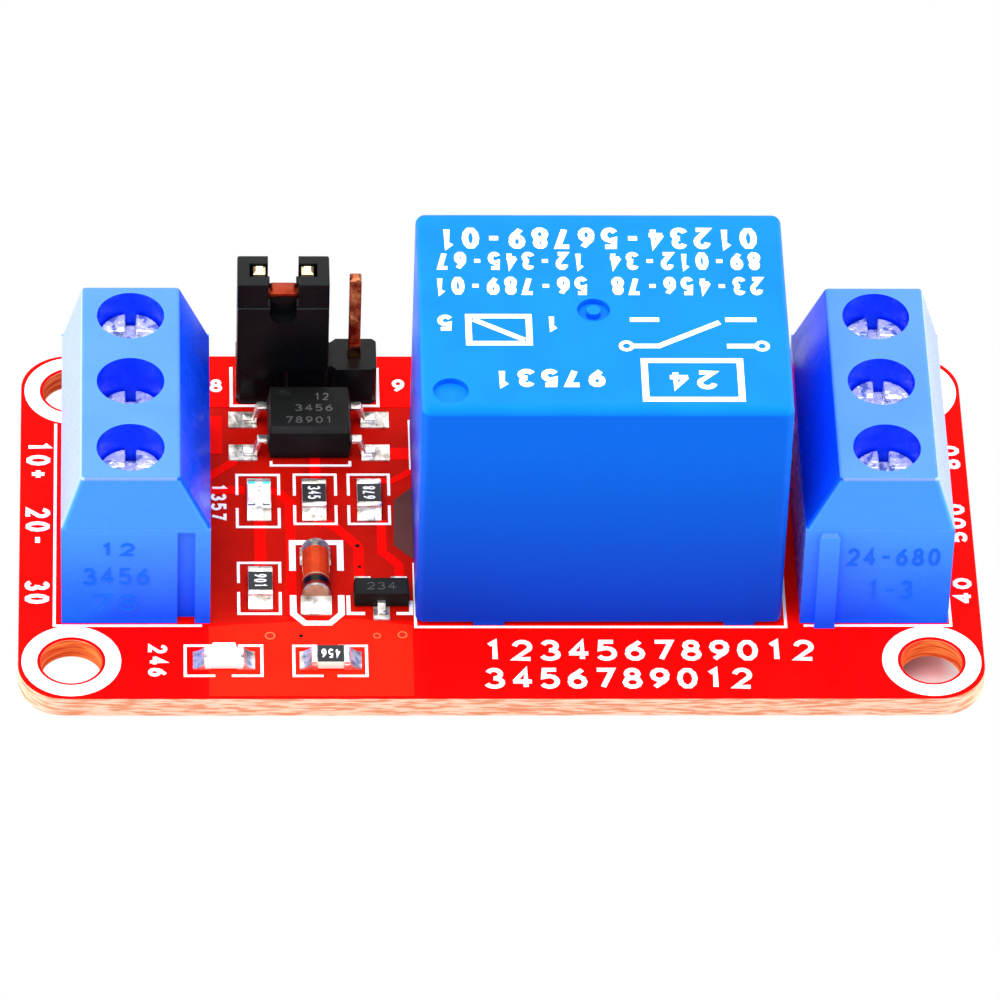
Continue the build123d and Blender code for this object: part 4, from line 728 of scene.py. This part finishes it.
# Plain numbers on the chip resistors, each on its own glaze
RESISTOR_TEXT = {"length": 0.98, "height": 0.66, "stroke": 0.09}
mesh = bmesh.new()
for text, node, turn in (("345", "resistor_1", -90), ("678", "resistor_2", 90), ("901", "resistor_3", -90),
                         ("456", "resistor_4", 180)):
    x_span, y_span, top = span(node, 0), span(node, 1), span(node, 2)[1]
    figures(mesh, text, flat(sum(x_span) / 2, sum(y_span) / 2, turn), **RESISTOR_TEXT,
            low=top - SUNK, high=top + 0.01)
finish_mesh(mesh, "resistor_numbers", INK_WHITE)

# Faint laser marks on the packages
mesh = bmesh.new()
top = span("optocoupler_body", 2)[1]
for text, x, y, length, height in (("12", -9.1, 7.6, 0.75, 0.56), ("3456", -9.52, 6.73, 2.0, 0.53),
                                   ("78901", -9.78, 5.8, 2.5, 0.52)):
    figures(mesh, text, flat(x, y), length, height, 0.08, top - SUNK, top + 0.004)
top = span("transistor_body", 2)[1]
figures(mesh, "234", flat(-6.17, -5.65), 1.5, 0.55, 0.06, top - SUNK, top + 0.003)
finish_mesh(mesh, "package_numbers", FAINT_MARK)

# Raised numbers on the front faces of the terminal blocks
TERMINAL_FRONT = -7.45
RAISED = 0.035
mesh = bmesh.new()
for text, x, z, length, height in (
        ("12", -19.87, 5.33, 1.8, 0.92), ("3456", -19.93, 3.4, 3.45, 1.22), ("78", -20.0, 1.5, 2.4, 1.2),
        ("24-680", 20.19, 4.8, 4.8, 1.25), ("1-3", 20.12, 2.43, 2.35, 1.4)):
    figures(mesh, text, upright(x, TERMINAL_FRONT, z + BOARD_TOP), length, height, 0.17, -SUNK, RAISED)
finish_mesh(mesh, "terminal_numbers", EMBOSSED)

# Plain print on top of the relay, read from the back: the text, what it spans, and its stroke
mesh = bmesh.new()
PRINT_LOW, PRINT_TOP = RELAY_TOP - SUNK, RELAY_TOP + 0.012
for text, x_span, y_span, stroke in (
        ("01234-56789-01", (-3.27, 13.23), (4.67, 6.31), 0.32),
        ("12-345-67", (-3.4, 4.26), (3.05, 4.42), 0.27),
        ("89-012-34", (5.46, 13.34), (3.05, 4.42), 0.27), ("56-789-01", (-3.61, 4.32), (1.13, 2.51), 0.27),
        ("23-456-78", (5.54, 13.37), (1.13, 2.51), 0.27), ("1", (2.0, 2.8), (-1.6, -0.4), 0.27),
        ("5", (-3.5, -2.7), (-1.6, -0.4), 0.27), ("97531", (-0.71, 5.0), (-5.84, -4.49), 0.32),
        ("24", (8.2, 10.7), (-6.0, -4.6), 0.3)):
    figures(mesh, text, flat(sum(x_span) / 2, sum(y_span) / 2, 180), x_span[1] - x_span[0],
            y_span[1] - y_span[0], stroke, PRINT_LOW, PRINT_TOP)
# A frame, and a coil and a changeover contact as on any wiring diagram: path, width, lift, and closed or not
for points, width, lift, closed in (
        ([(7.0, -6.75), (11.9, -6.75), (11.9, -3.85), (7.0, -3.85)], 0.34, 0, True),
        ([(1.2, -0.5), (1.2, -2.55), (-1.9, -2.55), (-1.9, -0.5)], 0.32, 0, True),
        ([(0.95, -2.3), (-1.65, -0.75)], 0.3, 0.002, False),
        ([(6.4, -0.75), (7.9, -0.75)], 0.32, 0, False), ([(6.4, -2.75), (7.9, -2.75)], 0.32, 0, False),
        ([(11.3, -0.75), (12.9, -0.75)], 0.32, 0, False), ([(11.3, -2.75), (12.9, -2.75)], 0.32, 0, False),
        ([(7.8, -2.75), (11.0, -0.95)], 0.32, 0.002, False),
        (circle(6.15, -2.75, 0.3, 12), 0.2, 0.004, True), (circle(13.1, -2.75, 0.3, 12), 0.2, 0.004, True)):
    ribbon(mesh, points, width, PRINT_LOW, PRINT_TOP + lift, closed)
finish_mesh(mesh, "relay_print", INK_WHITE)

# Skins round the diode: its painted band, the deeper glass at its end, the seal, and its front cap's tan face
DIODE_X = sum(span("diode_glass", 0)) / 2
DIODE_Z = sum(span("diode_glass", 2)) / 2
DIODE_RADIUS = (span("diode_glass", 0)[1] - span("diode_glass", 0)[0]) / 2
CAP_FRONT = span("diode_end_caps", 1)[0]
SKIN = 0.03
FACE_BORE = 0.02


def drum(mesh, radius, bore, y_span, steps=48):
    """A ring along Y about the diode's axis."""
    rings = []
    for r, y in ((radius, y_span[0]), (radius, y_span[1]), (bore, y_span[1]), (bore, y_span[0])):
        rings.append([mesh.verts.new(mm(DIODE_X + r * cos(2 * pi * i / steps), y,
                                        DIODE_Z + r * sin(2 * pi * i / steps))) for i in range(steps)])
    for k in range(4):
        for i in range(steps):
            j = (i + 1) % steps
            mesh.faces.new((rings[k][i], rings[k][j], rings[(k + 1) % 4][j], rings[(k + 1) % 4][i]))


for name, y_span, radius, material, slot in (
        ("diode_band", (-5.78, -5.38), DIODE_RADIUS + 0.012, DARK_BAND, "black_plastic"),
        ("diode_end_glass", (-5.97, -5.25), DIODE_RADIUS + 0.006, DEEP_GLASS, "diode_glass"),
        ("diode_seal", (-5.24, -5.16), DIODE_RADIUS + 0.004, TAN_PLATING, "tin"),
        ("diode_face", (CAP_FRONT - 0.012, CAP_FRONT + 0.02), DIODE_RADIUS - 0.09, TAN_PLATING, "tin")):
    mesh = bmesh.new()
    drum(mesh, radius, FACE_BORE if name == "diode_face" else radius - SKIN, y_span)
    finish_mesh(mesh, name, material)

# Marks on the white light: two green corners at the cathode, the chip and its wire, and slots at the front
lens_left, lens_right = span("status_led_lens", 0)
lens_back = span("status_led_lens", 1)[1]
lens_top = span("status_led_lens", 2)[1]
base_top = span("status_led_base", 2)[1]
middle = (lens_left + lens_right) / 2
CORNER_X, CORNER_Y, CORNER_HALF = 0.24, 0.16, 0.19
mesh = bmesh.new()
for x in (lens_left + CORNER_X, lens_right - CORNER_X):
    ribbon(mesh, [(x - CORNER_HALF, lens_back - CORNER_Y), (x + CORNER_HALF, lens_back - CORNER_Y)],
           CORNER_HALF, lens_top - SUNK, lens_top + 0.006)
finish_mesh(mesh, "led_cathode_marks", CYAN_MARK)
mesh = bmesh.new()
CHIP_Y, WIRE_Y, DOT = 1.98, 1.66, 0.09
SLOT_Y, SLOT_OUT, SLOT_IN, SLOT_HOOK, SLOT_WIDTH = 1.02, 0.58, 0.24, 0.1, 0.07
for y in (CHIP_Y, WIRE_Y):
    ribbon(mesh, [(middle - DOT / 2, y), (middle + DOT / 2, y)], DOT, lens_top - SUNK, lens_top + 0.006)
for side in (-1, 1):
    outside, inside = middle + side * SLOT_OUT, middle + side * SLOT_IN
    ribbon(mesh, [(outside, SLOT_Y), (inside, SLOT_Y), (inside, SLOT_Y + SLOT_HOOK)], SLOT_WIDTH,
           base_top - SUNK, base_top + 0.02)
finish_mesh(mesh, "led_chip_marks", CHIP_BLACK)


# Camera: fitted to the photograph, which is 1000 pixels wide and high. The clips are in metres.
CAMERA_ELEVATION = radians(43.64)
CAMERA_AZIMUTH = radians(-3.172)
CAMERA_ROLL = radians(2.204)
CAMERA_DISTANCE = 489.6
FOCAL_PIXELS = 9330.5
FRAME_PIXELS = 1000
ORIGIN_PIXEL = (496.6, 524.5)
SENSOR = 36.0
CLIPS = (0.01, 10)


def make_camera():
    """The photograph's camera, turned and shifted as its fit says."""
    back = Vector((sin(CAMERA_AZIMUTH) * cos(CAMERA_ELEVATION), -cos(CAMERA_AZIMUTH) * cos(CAMERA_ELEVATION),
                   sin(CAMERA_ELEVATION)))
    level = Vector((cos(CAMERA_AZIMUTH), sin(CAMERA_AZIMUTH), 0))
    above = back.cross(level)
    right = cos(CAMERA_ROLL) * level + sin(CAMERA_ROLL) * above
    up = -sin(CAMERA_ROLL) * level + cos(CAMERA_ROLL) * above
    data = bpy.data.cameras.new("camera")
    data.sensor_width = SENSOR
    data.lens = SENSOR * FOCAL_PIXELS / FRAME_PIXELS
    data.shift_x = (FRAME_PIXELS / 2 - ORIGIN_PIXEL[0]) / FRAME_PIXELS
    data.shift_y = (ORIGIN_PIXEL[1] - FRAME_PIXELS / 2) / FRAME_PIXELS
    data.clip_start, data.clip_end = CLIPS
    camera = bpy.data.objects.new("camera", data)
    camera.matrix_world = Matrix.Translation(mm(0, 0, BOARD_TOP) + back * CAMERA_DISTANCE * MM) @ Matrix(
        (right, up, back)).transposed().to_4x4()
    bpy.context.scene.collection.objects.link(camera)
    bpy.context.scene.camera = camera


# Each lamp's place and size in millimetres, and its power in watts
LAMPS = {
    "top": ((0, -80, 470), 450, 2.2),
    "back": ((0, 360, 360), 500, 0.9),
    "key": ((-220, -330, 340), 400, 0.9),
    "left": ((-480, 0, 120), 350, 3.2),
    "right": ((480, -40, 140), 350, 3.0),
}


def make_lamp(name, at, size, power):
    """A soft square white lamp that points at the middle of the board."""
    data = bpy.data.lights.new(name, "AREA")
    data.size = size * MM
    data.energy = power
    lamp = bpy.data.objects.new(name, data)
    lamp.location = mm(*at)
    lamp.rotation_euler = (-lamp.location).to_track_quat("-Z", "Y").to_euler()
    bpy.context.scene.collection.objects.link(lamp)


def white_to_camera(tree, surface):
    """Pure white to the camera, in reflections and through glass, and the plain surface otherwise."""
    path = tree.nodes.new("ShaderNodeLightPath")
    seen = path.outputs["Is Camera Ray"]
    for name in ("Is Glossy Ray", "Is Transmission Ray"):
        seen = combined(tree, "MAXIMUM", seen, path.outputs[name])
    mix = tree.nodes.new("ShaderNodeMixShader")
    white = add(tree, "ShaderNodeEmission", Strength=1.0)
    white.inputs["Color"].default_value = (1, 1, 1, 1)
    tree.links.new(seen, mix.inputs["Fac"])
    tree.links.new(surface, mix.inputs[1])
    tree.links.new(white.outputs[0], mix.inputs[2])
    return mix.outputs[0]


# The stage: the world's light, the floor's half length in metres, and its grey and its painted red bounce of
# the board under the board, which starts in from the board's left end and front and fades over a length in
# millimetres
WORLD_STRENGTH = 0.6
FLOOR_HALF = 3.0
FLOOR_GREY = (0.4, 0.4, 0.4)
FLOOR_RED_BOUNCE = (0.76, 0.40, 0.40)
TINT_LEFT = 4.4
TINT_FRONT = 2.6
TINT_FADE = 2


def under_board(tree):
    """1 on the floor under the board, where it takes a painted red bounce of the board, and 0 beyond it,
    fading inward from its edge.
    """
    at = place_split(tree)
    near = []
    for axis, low, high in (("X", BOARD_X[0] + TINT_LEFT, BOARD_X[1]),
                            ("Y", BOARD_Y[0] + TINT_FRONT, BOARD_Y[1])):
        middle, half = (low + high) / 2 * MM, (high - low) / 2 * MM
        distance = combined(tree, "ABSOLUTE", combined(tree, "SUBTRACT", at[axis], middle))
        near.append(ranged(tree, distance, half - TINT_FADE * MM, half, 1, 0))
    return combined(tree, "MULTIPLY", *near)


def make_stage():
    """A white world and a floor that catches the board's shade, with a painted red bounce of the board under
    it.
    """
    world = bpy.context.scene.world or bpy.data.worlds.new("world")
    bpy.context.scene.world = world
    world.use_nodes = True
    tree = world.node_tree
    background = tree.nodes["Background"]
    background.inputs["Color"].default_value = (1, 1, 1, 1)
    background.inputs["Strength"].default_value = WORLD_STRENGTH
    tree.links.new(white_to_camera(tree, background.outputs[0]),
                   tree.nodes["World Output"].inputs["Surface"])
    mesh = bpy.data.meshes.new("floor")
    corners = [(-1, -1), (1, -1), (1, 1), (-1, 1)]
    mesh.from_pydata([(x * FLOOR_HALF, y * FLOOR_HALF, FLOOR * MM) for x, y in corners], [], [(0, 1, 2, 3)])
    floor = bpy.data.objects.new("floor", mesh)
    material, tree, shader = tree_of("floor", FLOOR_GREY, 0.9)
    white = white_to_camera(tree, shader.outputs[0])
    # Under the board the floor is a grey-pink diffuse: a painted red bounce from the board.
    pale = add(tree, "ShaderNodeBsdfDiffuse")
    pale.inputs["Color"].default_value = (*FLOOR_RED_BOUNCE, 1)
    mix = tree.nodes.new("ShaderNodeMixShader")
    tree.links.new(under_board(tree), mix.inputs["Fac"])
    tree.links.new(white, mix.inputs[1])
    tree.links.new(pale.outputs[0], mix.inputs[2])
    tree.links.new(mix.outputs[0], tree.nodes["Material Output"].inputs["Surface"])
    paint(floor, material)
    bpy.context.scene.collection.objects.link(floor)


make_camera()
make_stage()
for name, lamp in LAMPS.items():
    make_lamp(name, *lamp)
bpy.context.scene.view_settings.view_transform = "Standard"
